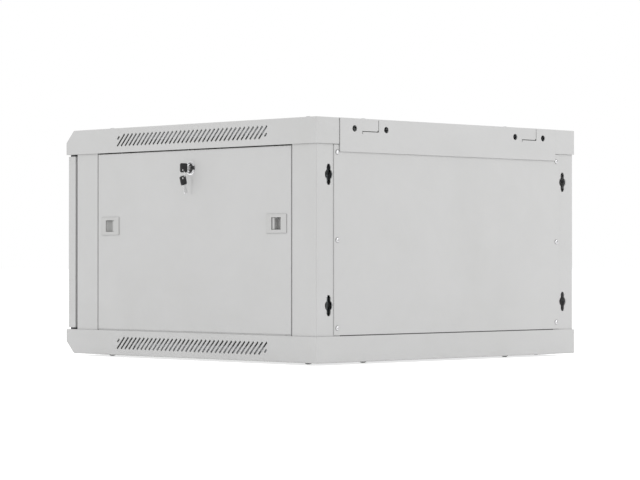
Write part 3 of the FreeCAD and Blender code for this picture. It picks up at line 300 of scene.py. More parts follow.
@dataclass(frozen=True)
class Finish:
    """A painted, plated or moulded surface.

    Its colour drifts towards a second tone by the dust mask and, where a shade amount is set, towards a dark
    painted shade in joints and recesses from ambient occlusion; its roughness by the grain mask, and its grain
    stands up as a fine bump. Depths and reaches are in metres.
    """

    name: str
    slot: str
    colour: tuple[float, float, float]
    dusty: tuple[float, float, float]
    roughness: tuple[float, float]
    metallic: float = 0.0
    grain: GroupBuilder = GRAIN
    grain_scale: float = 1200.0
    stretch: tuple[float, float, float] = (600.0,) * 3
    bump: float = 0.1
    bump_depth: float = 0.05 * MM
    dust: float = 1.0
    # Amount, reach and colour of the painted shade in joints and recesses.
    grime: float = 0.0
    grime_reach: float = 4 * MM
    grime_colour: tuple[float, float, float] = (0.10, 0.10, 0.098)
    transmission: float = 0.0
    ior: float = 1.5

    def material(self) -> Material:
        """Builds the material on first use.

        Returns:
            The material.
        """
        known = bpy.data.materials.get(self.name)
        if known is not None:
            return known
        material = bpy.data.materials.new(self.name)
        material.use_nodes = True
        tree = NodeTree(material.node_tree)
        place = (tree.add("TexCoord"), "Object")
        scale = {"Grain_Scale": self.grain_scale} if self.grain is GRAIN else {"Stretch": self.stretch}
        grain = tree.add("Group", node_tree=self.grain.group(), Vector=place, **scale)
        dust = tree.add("Group", node_tree=HANDLING.group(), Vector=place, Amount=self.dust)
        tone = tree.add("Mix", data_type="RGBA", Factor=(dust, "Mask"), A=(*self.colour, 1.0),
                        B=(*self.dusty, 1.0))
        # Painted shade: ambient occlusion darkens the colour where surfaces lie close.
        if self.grime:
            grime = tree.add("Group", node_tree=PAINTED_SHADE.group(), Vector=place, Reach=self.grime_reach,
                             Amount=self.grime)
            tone = tree.add("Mix", data_type="RGBA", Factor=(grime, "Mask"), A=tone,
                            B=(*self.grime_colour, 1.0))
        low, high = self.roughness
        gloss = tree.add("MapRange", Value=(grain, "Mask"), To_Min=low, To_Max=high)
        bump = tree.add("Bump", Strength=self.bump, Distance=self.bump_depth, Height=(grain, "Height"))
        shader = tree.add("BsdfPrincipled", Base_Color=tone, Roughness=gloss,
                          Normal=bump, Metallic=self.metallic, IOR=self.ior,
                          Transmission_Weight=self.transmission)
        tree.add("OutputMaterial", Surface=shader)
        return material


# Painted shade: the coat darkens in seams, gaps and vent slots by ambient occlusion.
POWDER_COAT = Finish("light_grey_powder_coat", "cabinet_paint", (0.600, 0.600, 0.598), (0.575, 0.575, 0.570),
                     (0.55, 0.68), grain_scale=1400.0, bump=0.12, grime=0.42)
ZINC = Finish("zinc_plated_sheet", "zinc_rail", (0.52, 0.53, 0.55), (0.44, 0.45, 0.47), (0.28, 0.46),
              metallic=1.0, grain=BRUSHED, stretch=(500.0, 500.0, 12.0), bump=0.08)
# Painted shade: the steel darkens round screw seats and recesses by ambient occlusion.
BRIGHT_STEEL = Finish("bright_plated_steel", "bolt_steel", (0.57, 0.57, 0.58), (0.46, 0.46, 0.46),
                      (0.22, 0.36), metallic=1.0, grain=BRUSHED, bump=0.06, grime=0.6, grime_reach=1.5 * MM)
# Painted shade: the bottom bolts are the top bolts' steel, coloured near black for the shade under the cabinet.
BOTTOM_BOLT_PAINTED_SHADE = Finish("blackened_bolt", "bolt_steel", (0.035, 0.035, 0.035), (0.07, 0.07, 0.068), (0.35, 0.5),
                   metallic=0.5, grain_scale=1800.0)
# Painted shade: the moulding darkens deep in the latch pockets by ambient occlusion.
LATCH_PLASTIC = Finish("light_grey_moulding", "latch_plastic", (0.565, 0.565, 0.560), (0.53, 0.53, 0.52),
                       (0.45, 0.60), grain_scale=2600.0, bump=0.15, grime=0.38, grime_reach=14 * MM)
CHROME = Finish("polished_chrome", "lock_chrome", (0.70, 0.70, 0.71), (0.60, 0.60, 0.61), (0.14, 0.24),
                metallic=1.0, grain_scale=900.0, bump=0.02)
# Painted shade and reflection: the nickel lock core is coloured near black for its shade and dark reflections.
PAINTED_SHADE_CORE = Finish("dull_nickel_casting", "lock_core", (0.030, 0.030, 0.032), (0.06, 0.06, 0.06),
                   (0.30, 0.45), metallic=0.4, grain_scale=2200.0)
KEY_BLACK = Finish("black_key_moulding", "key_head", (0.012, 0.012, 0.013), (0.03, 0.03, 0.03), (0.28, 0.42),
                   grain_scale=3000.0, bump=0.08)
RING_STEEL = Finish("nickel_key_ring", "ring_steel", (0.55, 0.55, 0.55), (0.45, 0.45, 0.45), (0.20, 0.34),
                    metallic=1.0, grain=BRUSHED, bump=0.05)
# Painted shade: the blade darkens inside the lock funnel by ambient occlusion.
KEY_STEEL = Finish("nickel_key_blade", "ring_steel", (0.76, 0.76, 0.76), (0.69, 0.69, 0.69), (0.40, 0.52),
                   metallic=0.5, grain=BRUSHED, bump=0.05, grime=0.9, grime_reach=8 * MM)
TINTED_GLASS = Finish("tempered_glass", "door_glass", (0.72, 0.77, 0.77), (0.66, 0.71, 0.71), (0.0, 0.03),
                      grain_scale=300.0, bump=0.0, dust=0.6, transmission=1.0)
FOAM = Finish("black_foam_tape", "seal_foam", (0.018, 0.018, 0.018), (0.035, 0.035, 0.035), (0.8, 0.95),
              grain_scale=1800.0, bump=0.6, bump_depth=0.2 * MM)
GREY_FOAM = Finish("grey_foam_tape", "seal_foam", (0.15, 0.15, 0.15), (0.19, 0.19, 0.19), (0.8, 0.95),
                   grain_scale=1800.0, bump=0.6, bump_depth=0.2 * MM)
NYLON = Finish("black_nylon", "bush_nylon", (0.02, 0.02, 0.022), (0.04, 0.04, 0.042), (0.35, 0.5),
               grain_scale=2400.0)
FINISH_BY_SLOT = {finish.slot: finish for finish in (
    POWDER_COAT, ZINC, BRIGHT_STEEL, LATCH_PLASTIC, CHROME, PAINTED_SHADE_CORE, KEY_BLACK, RING_STEEL, TINTED_GLASS,
    FOAM, NYLON)}


# ---- mesh helpers ----


@dataclass(frozen=True)
class Pose:
    """Where a piece made at the origin goes: its centre, the way it faces (+Z) and its long way (+X)."""

    centre: Vector
    outward: Vector
    along: Vector

    @property
    def matrix(self) -> Matrix:
        """The transform from the piece's own axes to the frame's."""
        turn = Matrix((self.along, self.outward.cross(self.along), self.outward)).transposed().to_4x4()
        return Matrix.Translation(self.centre) @ turn


@dataclass(frozen=True)
class Box:
    """A node's or a solid's corners in the frame."""

    low: Vector
    high: Vector

    @property
    def centre(self) -> Vector:
        """The middle of the box."""
        return (self.low + self.high) / 2

    @property
    def size(self) -> Vector:
        """The lengths of its sides."""
        return self.high - self.low


def node_box(node: str) -> Box:
    """Returns the box of a CAD node."""
    return Box(*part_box(node))


def merged_copy(node: str, nodes: dict[str, Object]) -> BMesh:
    """Copies a CAD node's mesh, joins its loose triangles and its flat faces.

    Args:
        node: the CAD node's name.
        nodes: the frame's objects by node name.

    Returns:
        A new bmesh of closed solids.
    """
    mesh = bmesh.new()
    mesh.from_mesh(nodes[node].data)
    bmesh.ops.remove_doubles(mesh, verts=mesh.verts[:], dist=COPY_MERGE)
    bmesh.ops.dissolve_limit(mesh, angle_limit=FLAT_ANGLE, verts=mesh.verts[:], edges=mesh.edges[:])
    return mesh


def solid_boxes(node: str, nodes: dict[str, Object]) -> list[Box]:
    """Finds the separate solids of a CAD node.

    Args:
        node: the CAD node's name.
        nodes: the frame's objects by node name.

    Returns:
        The box of each solid, in order of the place of its lowest corner.
    """
    mesh = merged_copy(node, nodes)
    waiting = set(mesh.verts)
    found: list[Box] = []
    while waiting:
        island, front = set(), [waiting.pop()]
        while front:
            vert = front.pop()
            island.add(vert)
            near = {edge.other_vert(vert) for edge in vert.link_edges} & waiting
            waiting -= near
            front.extend(near)
        low = Vector([min(vert.co[axis] for vert in island) for axis in range(3)])
        high = Vector([max(vert.co[axis] for vert in island) for axis in range(3)])
        found.append(Box(low, high))
    mesh.free()
    return sorted(found, key=lambda solid: tuple(solid.low))


def lathe(profile: Sequence[tuple[float, float]], steps: int = 48) -> BMesh:
    """Spins a profile of (radius, height) round +Z.

    Args:
        profile: the section's corners in order, in metres. It is closed unless it starts on the axis.
        steps: how many faces go round.

    Returns:
        A closed ring or body of revolution.
    """
    mesh = bmesh.new()
    corners = [mesh.verts.new((radius, 0.0, height)) for radius, height in profile]
    edges = [mesh.edges.new(pair) for pair in zip(corners, corners[1:])]
    if profile[0][0] > 0:
        edges.append(mesh.edges.new((corners[-1], corners[0])))
    bmesh.ops.spin(mesh, geom=corners + edges, cent=(0, 0, 0), axis=(0, 0, 1), dvec=(0, 0, 0),
                   angle=2 * math.pi, steps=steps, use_merge=True)
    bmesh.ops.remove_doubles(mesh, verts=mesh.verts[:], dist=TURNED_MERGE)
    bmesh.ops.dissolve_degenerate(mesh, edges=mesh.edges[:], dist=TURNED_MERGE)
    bmesh.ops.recalc_face_normals(mesh, faces=mesh.faces[:])
    return mesh


def flat_ring(bore: float, radius: float, low: float, high: float, steps: int = 48) -> BMesh:
    """Makes a flat ring round +Z, such as a washer, between two radii and two heights."""
    return lathe([(bore, low), (radius, low), (radius, high), (bore, high)], steps)


def block(low: Sequence[float], high: Sequence[float], edge: float = 0.0) -> BMesh:
    """Makes a block between two corners.

    Args:
        low: its lowest corner.
        high: its highest corner.
        edge: the radius of its edges, if they are rounded.

    Returns:
        The block.
    """
    mesh = bmesh.new()
    bmesh.ops.create_cube(mesh, size=1.0)
    bmesh.ops.scale(mesh, vec=Vector(high) - Vector(low), verts=mesh.verts[:])
    shifted(mesh, (Vector(low) + Vector(high)) / 2)
    if edge:
        round_edges(mesh, mesh.edges[:], edge, segments=2)
    return mesh


def round_edges(mesh: BMesh, edges: Iterable[BMEdge], width: float, segments: int) -> None:
    """Rounds the given edges."""
    bmesh.ops.bevel(mesh, geom=list(edges), offset=width, offset_type="OFFSET", affect="EDGES",
                    segments=segments, profile=0.5, material=-1, clamp_overlap=True)


def moved(mesh: BMesh, matrix: Matrix) -> BMesh:
    """Moves and turns a bmesh and hands it back."""
    bmesh.ops.transform(mesh, matrix=matrix, verts=mesh.verts[:])
    return mesh


def shifted(mesh: BMesh, way: Sequence[float]) -> BMesh:
    """Moves a bmesh without turning it and hands it back."""
    bmesh.ops.translate(mesh, vec=way, verts=mesh.verts[:])
    return mesh


def turned(mesh: BMesh, degrees: float, axis: str) -> BMesh:
    """Turns a bmesh round an axis through the origin and hands it back."""
    return moved(mesh, Matrix.Rotation(math.radians(degrees), 4, axis))


def capped(wire: BMesh) -> BMesh:
    """Closes the two ends of a wire and turns its faces outwards.

    Args:
        wire: a tube that is open at both ends.

    Returns:
        The same bmesh.
    """
    bmesh.ops.holes_fill(wire, edges=[edge for edge in wire.edges if edge.is_boundary])
    bmesh.ops.recalc_face_normals(wire, faces=wire.faces[:])
    return wire


def add_to(mesh: BMesh, other: BMesh, place: Matrix = Matrix.Identity(4)) -> None:
    """Moves another bmesh, adds it to this one and frees it.

    Args:
        mesh: the bmesh that grows.
        other: the bmesh that is added.
        place: where it goes.
    """
    scratch = bpy.data.meshes.new("scratch")
    moved(other, place).to_mesh(scratch)
    other.free()
    mesh.from_mesh(scratch)
    bpy.data.meshes.remove(scratch)


def new_object(name: str, data: ID) -> Object:
    """Makes an object, unturned at the origin, and puts it in the scene.

    Args:
        name: the object's name.
        data: its mesh, light or camera.

    Returns:
        The new object.
    """
    made = bpy.data.objects.new(name, data)
    bpy.context.scene.collection.objects.link(made)
    return made


def carved(body: BMesh, cutters: Sequence[BMesh]) -> BMesh:
    """Cuts shapes out of a closed body and frees them all.

    Args:
        body: the closed shape to cut.
        cutters: closed shapes that are taken away.

    Returns:
        A new bmesh of what is left.
    """
    made: list[Object] = []
    for index, shape in enumerate([body, *cutters]):
        data = bpy.data.meshes.new(f"cut_{index}")
        shape.to_mesh(data)
        shape.free()
        made.append(new_object(f"cut_{index}", data))
    for cutter in made[1:]:
        step = made[0].modifiers.new(cutter.name, "BOOLEAN")
        step.operation, step.solver, step.object = "DIFFERENCE", "EXACT", cutter
    bpy.context.view_layer.update()
    result = bmesh.new()
    result.from_object(made[0], bpy.context.evaluated_depsgraph_get())
    for item in made:
        data = item.data
        bpy.data.objects.remove(item)
        bpy.data.meshes.remove(data)
    bmesh.ops.remove_doubles(result, verts=result.verts[:], dist=CUT_MERGE)
    return result


@dataclass
class Workshop:
    """Turns finished bmeshes into pieces of the scene and keeps count of them."""

    nodes: dict[str, Object]
    record: dict
    made: list[str] = field(default_factory=list)

    def body_of(self, node: str) -> str:
        """Returns the name of the body that carries a CAD node."""
        return next(body for body, members in self.record["behaviour"]["bodies"].items() if node in members)

    def joint(self, name: str) -> dict:
        """Returns the record of a joint."""
        return next(joint for joint in self.record["behaviour"]["joints"] if joint["name"] == name)

    def piece(self, name: str, mesh: BMesh, finish: Finish, stands_for: Sequence[str] = (),
              rides_on: str | None = None) -> Object:
        """Makes an object of a bmesh, finishes it and sets what carries it.

        Args:
            name: the piece's name.
            mesh: its shape, already in the frame. It is freed.
            finish: its surface.
            stands_for: CAD nodes that it replaces.
            rides_on: the node whose body carries it, if it replaces none.

        Returns:
            The new object.
        """
        data = bpy.data.meshes.new(name)
        for edge in mesh.edges:
            if edge.is_manifold:
                edge.smooth = edge.calc_face_angle(0.0) < SMOOTH_ANGLE
        for face in mesh.faces:
            face.smooth = True
        mesh.to_mesh(data)
        mesh.free()
        data.materials.append(finish.material())
        piece = new_object(name, data)
        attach(piece, self.body_of(stands_for[0] if stands_for else rides_on))
        if stands_for:
            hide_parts(*stands_for)
        self.made.append(name)
        LOG.info("%s: %d faces, %s", name, len(data.polygons), finish.name)
        return piece

    def softened(self, node: str, finish: Finish, width: float) -> None:
        """Replaces a CAD node by a merged copy whose sharp edges are rounded.

        Args:
            node: the CAD node.
            finish: the copy's surface.
            width: the edge radius in metres.
        """
        piece = self.piece(f"{node}_piece", merged_copy(node, self.nodes), finish, [node])
        rounding = piece.modifiers.new("rounded_edges", "BEVEL")
        rounding.width = width
        rounding.segments = 2
        rounding.limit_method = "ANGLE"
        rounding.angle_limit = SHARP_ANGLE
        rounding.harden_normals = True


# ---- sheet metal ----


@dataclass
class SheetMetal:
    """The covers, posts, panels and rails, which keep their solids, and the foam and buffers between them."""

    shop: Workshop
    clearance: float = 0.3 * MM
    contact_gap: float = 0.02 * MM
    strip_t: float = 3.0 * MM
    strip_drop: float = 6.0 * MM
    strip_lap: float = 5.0 * MM
    strip_edge: float = 0.5 * MM
    buffer_out: float = 0.7 * MM
    buffer_t: float = 2.4 * MM
    buffer_h: float = 5.0 * MM
    buffer_l: float = 11.8 * MM
    buffer_edge: float = 0.3 * MM

    def gap_strip(self) -> None:
        """Sticks a foam strip inside the gap between the rear panel and the bottom cover."""
        panel = node_box("rear_panel")
        reach = node_box("rear_post_right").low.x - self.clearance
        near = panel.low.y - self.contact_gap
        strip = block((-reach, near - self.strip_t, panel.low.z - self.strip_drop),
                      (reach, near, panel.low.z + self.strip_lap), self.strip_edge)
        self.shop.piece("rear_gap_strip", strip, GREY_FOAM, rides_on="rear_panel")

    def corner_buffers(self, side: Side) -> None:
        """Puts a buffer under both lower corners of a side panel, in line with its hook strip.

        Args:
            side: the side of the panel.
        """
        node = f"side_panel_{side.label}"
        panel = node_box(node)
        foot = node_box("rear_panel").low.z
        face = panel.high.x if side is Side.RIGHT else panel.low.x
        left, right = sorted(face - side.value * depth
                             for depth in (self.buffer_out, self.buffer_out + self.buffer_t))
        mesh = bmesh.new()
        for near, far in ((panel.low.y + self.clearance, panel.low.y + self.buffer_l),
                          (panel.high.y - self.buffer_l, panel.high.y - self.clearance)):
            add_to(mesh, block((left, near, foot - self.buffer_h), (right, far, foot - self.contact_gap),
                               self.buffer_edge))
        self.shop.piece(f"corner_buffers_{side.label}", mesh, POWDER_COAT, rides_on=node)

    def build(self) -> None:
        """Gives every node the finish of its slot, seals the rear gap and sets the buffers."""
        for entry in self.shop.record["subparts"]:
            for holder in self.shop.nodes[entry["node"]].material_slots:
                holder.material = FINISH_BY_SLOT[entry["material_slot"]].material()
        self.gap_strip()
        for side in Side:
            self.corner_buffers(side)


# ---- fasteners ----


@dataclass(frozen=True)
class PanHead:
    """A cross-head screw with a domed head, which stands on z = 0 with its shank pointing to -z.

    Lengths are in metres. Each share is a part of the head's height or radius, or of the shank's radius.
    """

    head_r: float
    head_h: float
    shank_r: float
    shank_l: float
    rim_share: float = 0.35
    tip_share: float = 0.75
    taper_share: float = 0.4
    recess_share: float = 0.65
    cross_share: float = 0.55
    arm_share: float = 0.11

    def profile(self) -> list[tuple[float, float]]:
        """Works out the half section of head and shank.

        Returns:
            Its corners, from the point of the shank to the crown.
        """
        crown = [(self.head_r * math.cos(turn),
                  self.head_h * (self.rim_share + (1 - self.rim_share) * math.sin(turn)))
                 for turn in map(math.radians, range(0, 90, 15))]
        tip, taper = self.shank_r * self.tip_share, self.shank_r * self.taper_share
        return [(0.0, -self.shank_l), (tip, -self.shank_l), (self.shank_r, -self.shank_l + taper),
                (self.shank_r, 0.0), (self.head_r, 0.0), *crown, (0.0, self.head_h)]

    def recess(self) -> list[BMesh]:
        """Makes the cutters of the cross recess.

        Returns:
            Two bars across each other.
        """
        deep = self.head_h * self.recess_share
        reach, wide = self.head_r * self.cross_share, self.head_r * self.arm_share
        return [block((-half_x, -half_y, self.head_h - deep), (half_x, half_y, self.head_h + deep))
                for half_x, half_y in ((reach, wide), (wide, reach))]

    def shape(self) -> BMesh:
        """Returns the finished screw."""
        return carved(lathe(self.profile(), steps=24), self.recess())


@dataclass
class Fasteners:
    """Every screw and bolt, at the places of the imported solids. Sizes are in metres."""

    shop: Workshop
    bolt: PanHead = PanHead(5.7 * MM, 3.7 * MM, 2.9 * MM, 7.8 * MM)
    rear_screw: PanHead = PanHead(3.6 * MM, 1.5 * MM, 2.3 * MM, 4.6 * MM)
    rail_bolt: PanHead = PanHead(5.7 * MM, 3.7 * MM, 2.9 * MM, 8.6 * MM)
    head_sink: float = 0.1 * MM
    drive_turn: int = 37
    # The rear screws' black washers stand in for the shade under the screw heads.
    washer_bore_r: float = 1.6 * MM
    washer_r: float = 3.8 * MM
    washer_t: float = 0.35 * MM
    washer_sink: float = 0.08 * MM

    def outward(self, node: str, solid: Box) -> Vector:
        """Returns the way that a fastener's head faces, by its node's name or the side of its box."""
        facing = {"cover_bolts_top": Z_AXIS, "cover_bolts_bottom": -Z_AXIS, "rear_panel_screws": Y_AXIS}
        return facing.get(node, -X_AXIS if solid.centre.x > 0 else X_AXIS)

    def washers(self) -> None:
        """Lays a thin black nylon washer under the head of each screw of the rear panel; its dark rim paints
        the shade under the head.
        """
        mesh = bmesh.new()
        for solid in solid_boxes("rear_panel_screws", self.shop.nodes):
            seat = solid.centre + Y_AXIS * (solid.size.y / 2 - self.rear_screw.head_h - self.washer_sink)
            add_to(mesh, flat_ring(self.washer_bore_r, self.washer_r, 0.0, self.washer_t, steps=32),
                   Pose(seat, Y_AXIS, X_AXIS).matrix)
        self.shop.piece("rear_panel_washers", mesh, NYLON, rides_on="rear_panel_screws")

    def build(self) -> None:
        """Makes one piece for each fastener node, each cross turned another way, and the washers."""
        styles = {"cover_bolts_top": self.bolt, "cover_bolts_bottom": self.bolt,
                  "rear_panel_screws": self.rear_screw, "rail_bolts": self.rail_bolt}
        for node, style in styles.items():
            pattern = style.shape()
            mesh = bmesh.new()
            for index, solid in enumerate(solid_boxes(node, self.shop.nodes)):
                outward = self.outward(node, solid)
                half = abs(solid.size.dot(outward)) / 2
                seat = solid.centre + outward * (half - style.head_h - self.head_sink)
                across = Y_AXIS if outward.x else X_AXIS
                along = Matrix.Rotation(math.radians(self.drive_turn * index % 90), 3, outward) @ across
                add_to(mesh, pattern.copy(), Pose(seat, outward, along).matrix)
            pattern.free()
            # The bottom bolts get the near-black painted shade instead of bright steel.
            finish = BOTTOM_BOLT_PAINTED_SHADE if node == "cover_bolts_bottom" else BRIGHT_STEEL
            self.shop.piece(f"{node}_piece", mesh, finish, [node])
        self.washers()


# ---- cam locks and keys ----


@dataclass
class CamLock:
    """A cam lock: domed bezel and barrel, plug with its keyway, cam and nut.

    Lengths are in metres, and each share is a part of the bezel's height or radius or of another size. The
    lock's own axes have the bezel's seat at z = 0, the outside at +z and the keyway's long way along x.
    """

    shop: Workshop
    kind: str
    suffix: str
    outward: Vector
    along: Vector
    bezel_r: float = 11.0 * MM
    bezel_h: float = 2.4 * MM
    dome_r: float = 9.8 * MM
    dome_foot_share: float = 0.2
    dome_turns: range = range(0, 157, 12)
    skirt_h: float = 0.3 * MM
    slot_share: float = 0.72
    slot_l: float = 1.9 * MM
    lining_t: float = 0.5 * MM
    lining_edge: float = 0.2 * MM
    lining_gap: float = 0.02 * MM
    barrel_r: float = 8.4 * MM
    running_gap: float = 0.05 * MM
    plug_r: float = 6.5 * MM
    plug_rim: float = 0.4 * MM
    rim_share: float = 0.3
    plug_proud: float = 0.8 * MM
    funnel_r: float = 8.2 * MM
    funnel_share: float = 0.42
    plug_deep: float = 0.8 * MM
    keyway_w: float = 6.1 * MM
    keyway_t: float = 1.9 * MM
    keyway_deep: float = 8.6 * MM
    wing_turn: int = 18
    wing_out: float = 0.9 * MM
    wing_deep: float = 0.7 * MM
    wing_share: float = 0.8
    spindle_half: float = 3 * MM
    cam_edge: float = 0.3 * MM

    def node(self, part: str) -> str:
        """Returns the CAD name of one of the lock's parts."""
        return f"{self.kind}_{part}{self.suffix}"

    def depth(self, part: str) -> float:
        """Returns the length of one of the lock's parts along the lock's axis."""
        return abs(node_box(self.node(part)).size.dot(self.outward))

    @property
    def pose(self) -> Pose:
        """Where the lock's own axes lie in the frame."""
        proud = self.depth("housing") / 2 - self.bezel_h
        return Pose(node_box(self.node("housing")).centre + self.outward * proud, self.outward, self.along)

    @property
    def barrel_l(self) -> float:
        """Length of the barrel behind the bezel."""
        return self.depth("housing") - self.bezel_h

    def slots(self, low: float, high: float, gap: float = 0.0, edge: float = 0.0) -> list[BMesh]:
        """Makes blocks in the two slots of the bezel, on either side of the plug.

        Args:
            low: where the blocks start along the lock's axis.
            high: where they end.
            gap: how much they are smaller than the slots all round.
            edge: the radius of their edges.

        Returns:
            The two blocks, in the lock's own axes.
        """
        half, reach = self.keyway_w / 2 - gap, self.slot_l - gap
        middles = (side * self.bezel_r * self.slot_share for side in (-1, 1))
        return [block((-half, middle - reach, low), (half, middle + reach, high), edge) for middle in middles]

    def housing(self) -> None:
        """Makes the domed bezel, its funnel down to the plug, the barrel, and dark linings on the floor of the
        slots, which paint the slots' shade.
        """
        node = self.node("housing")
        bore = self.plug_r + self.running_gap
        middle = (self.dome_r + self.funnel_r) / 2
        ring = self.dome_r - middle
        foot = self.dome_foot_share
        dome = [(middle + ring * math.cos(turn), self.bezel_h * (foot + (1 - foot) * math.sin(turn)))
                for turn in map(math.radians, self.dome_turns)]
        profile = [(bore, -self.barrel_l), (self.barrel_r, -self.barrel_l), (self.barrel_r, 0.0),
                   (self.bezel_r, 0.0), (self.bezel_r, self.skirt_h), *dome,
                   (self.funnel_r, self.bezel_h * self.funnel_share), (bore, -self.plug_deep)]
        mesh = carved(lathe(profile, steps=64), self.slots(self.skirt_h, 2 * self.bezel_h))
        self.shop.piece(f"{node}_piece", moved(mesh, self.pose.matrix), CHROME, [node])
        # Painted shade: near-black linings on the slot floors stand in for their shade.
        shade_linings = bmesh.new()
        for shade_lining in self.slots(self.skirt_h + self.lining_gap, self.skirt_h + self.lining_t,
                                 self.running_gap, self.lining_edge):
            add_to(shade_linings, shade_lining)
        self.shop.piece(f"{node}_slots", moved(shade_linings, self.pose.matrix), PAINTED_SHADE_CORE, rides_on=node)

    def plug(self) -> None:
        """Makes the turning core: a rounded rim, a keyway, and a butterfly recess that leads the key in."""
        node = self.node("plug")
        top, rim = -self.plug_deep, self.plug_rim
        slope = rim * self.rim_share
        profile = [(0.0, -self.barrel_l), (self.plug_r, -self.barrel_l), (self.plug_r, top - rim),
                   (self.plug_r - slope, top - slope), (self.plug_r - rim, top), (0.0, top)]
        half_w, half_t = self.keyway_w / 2, self.keyway_t / 2
        cutters = [block((-half_w, -half_t, top - self.keyway_deep), (half_w, half_t, top + OVERRUN))]
        wing_w, wing_t = half_w + self.wing_out, half_t * self.wing_share
        for turn in (-self.wing_turn, self.wing_turn):
            wing = block((-wing_w, -wing_t, top - self.wing_deep), (wing_w, wing_t, top + OVERRUN))
            cutters.append(turned(wing, turn, "Z"))
        mesh = carved(lathe(profile), cutters)
        spindle_end = self.bezel_h + self.plug_proud - self.depth("plug")
        add_to(mesh, block((-self.spindle_half, -self.spindle_half, spindle_end),
                           (self.spindle_half, self.spindle_half, -self.barrel_l), self.cam_edge))
        # Painted shade: the plug takes the near-black core colour for its shade and dark reflections.
        self.shop.piece(f"{node}_piece", moved(mesh, self.pose.matrix), PAINTED_SHADE_CORE, [node])

    def build(self) -> None:
        """Makes the housing and the plug, and softens the cam."""
        self.housing()
        self.plug()
        self.shop.softened(self.node("cam"), BRIGHT_STEEL, self.cam_edge)


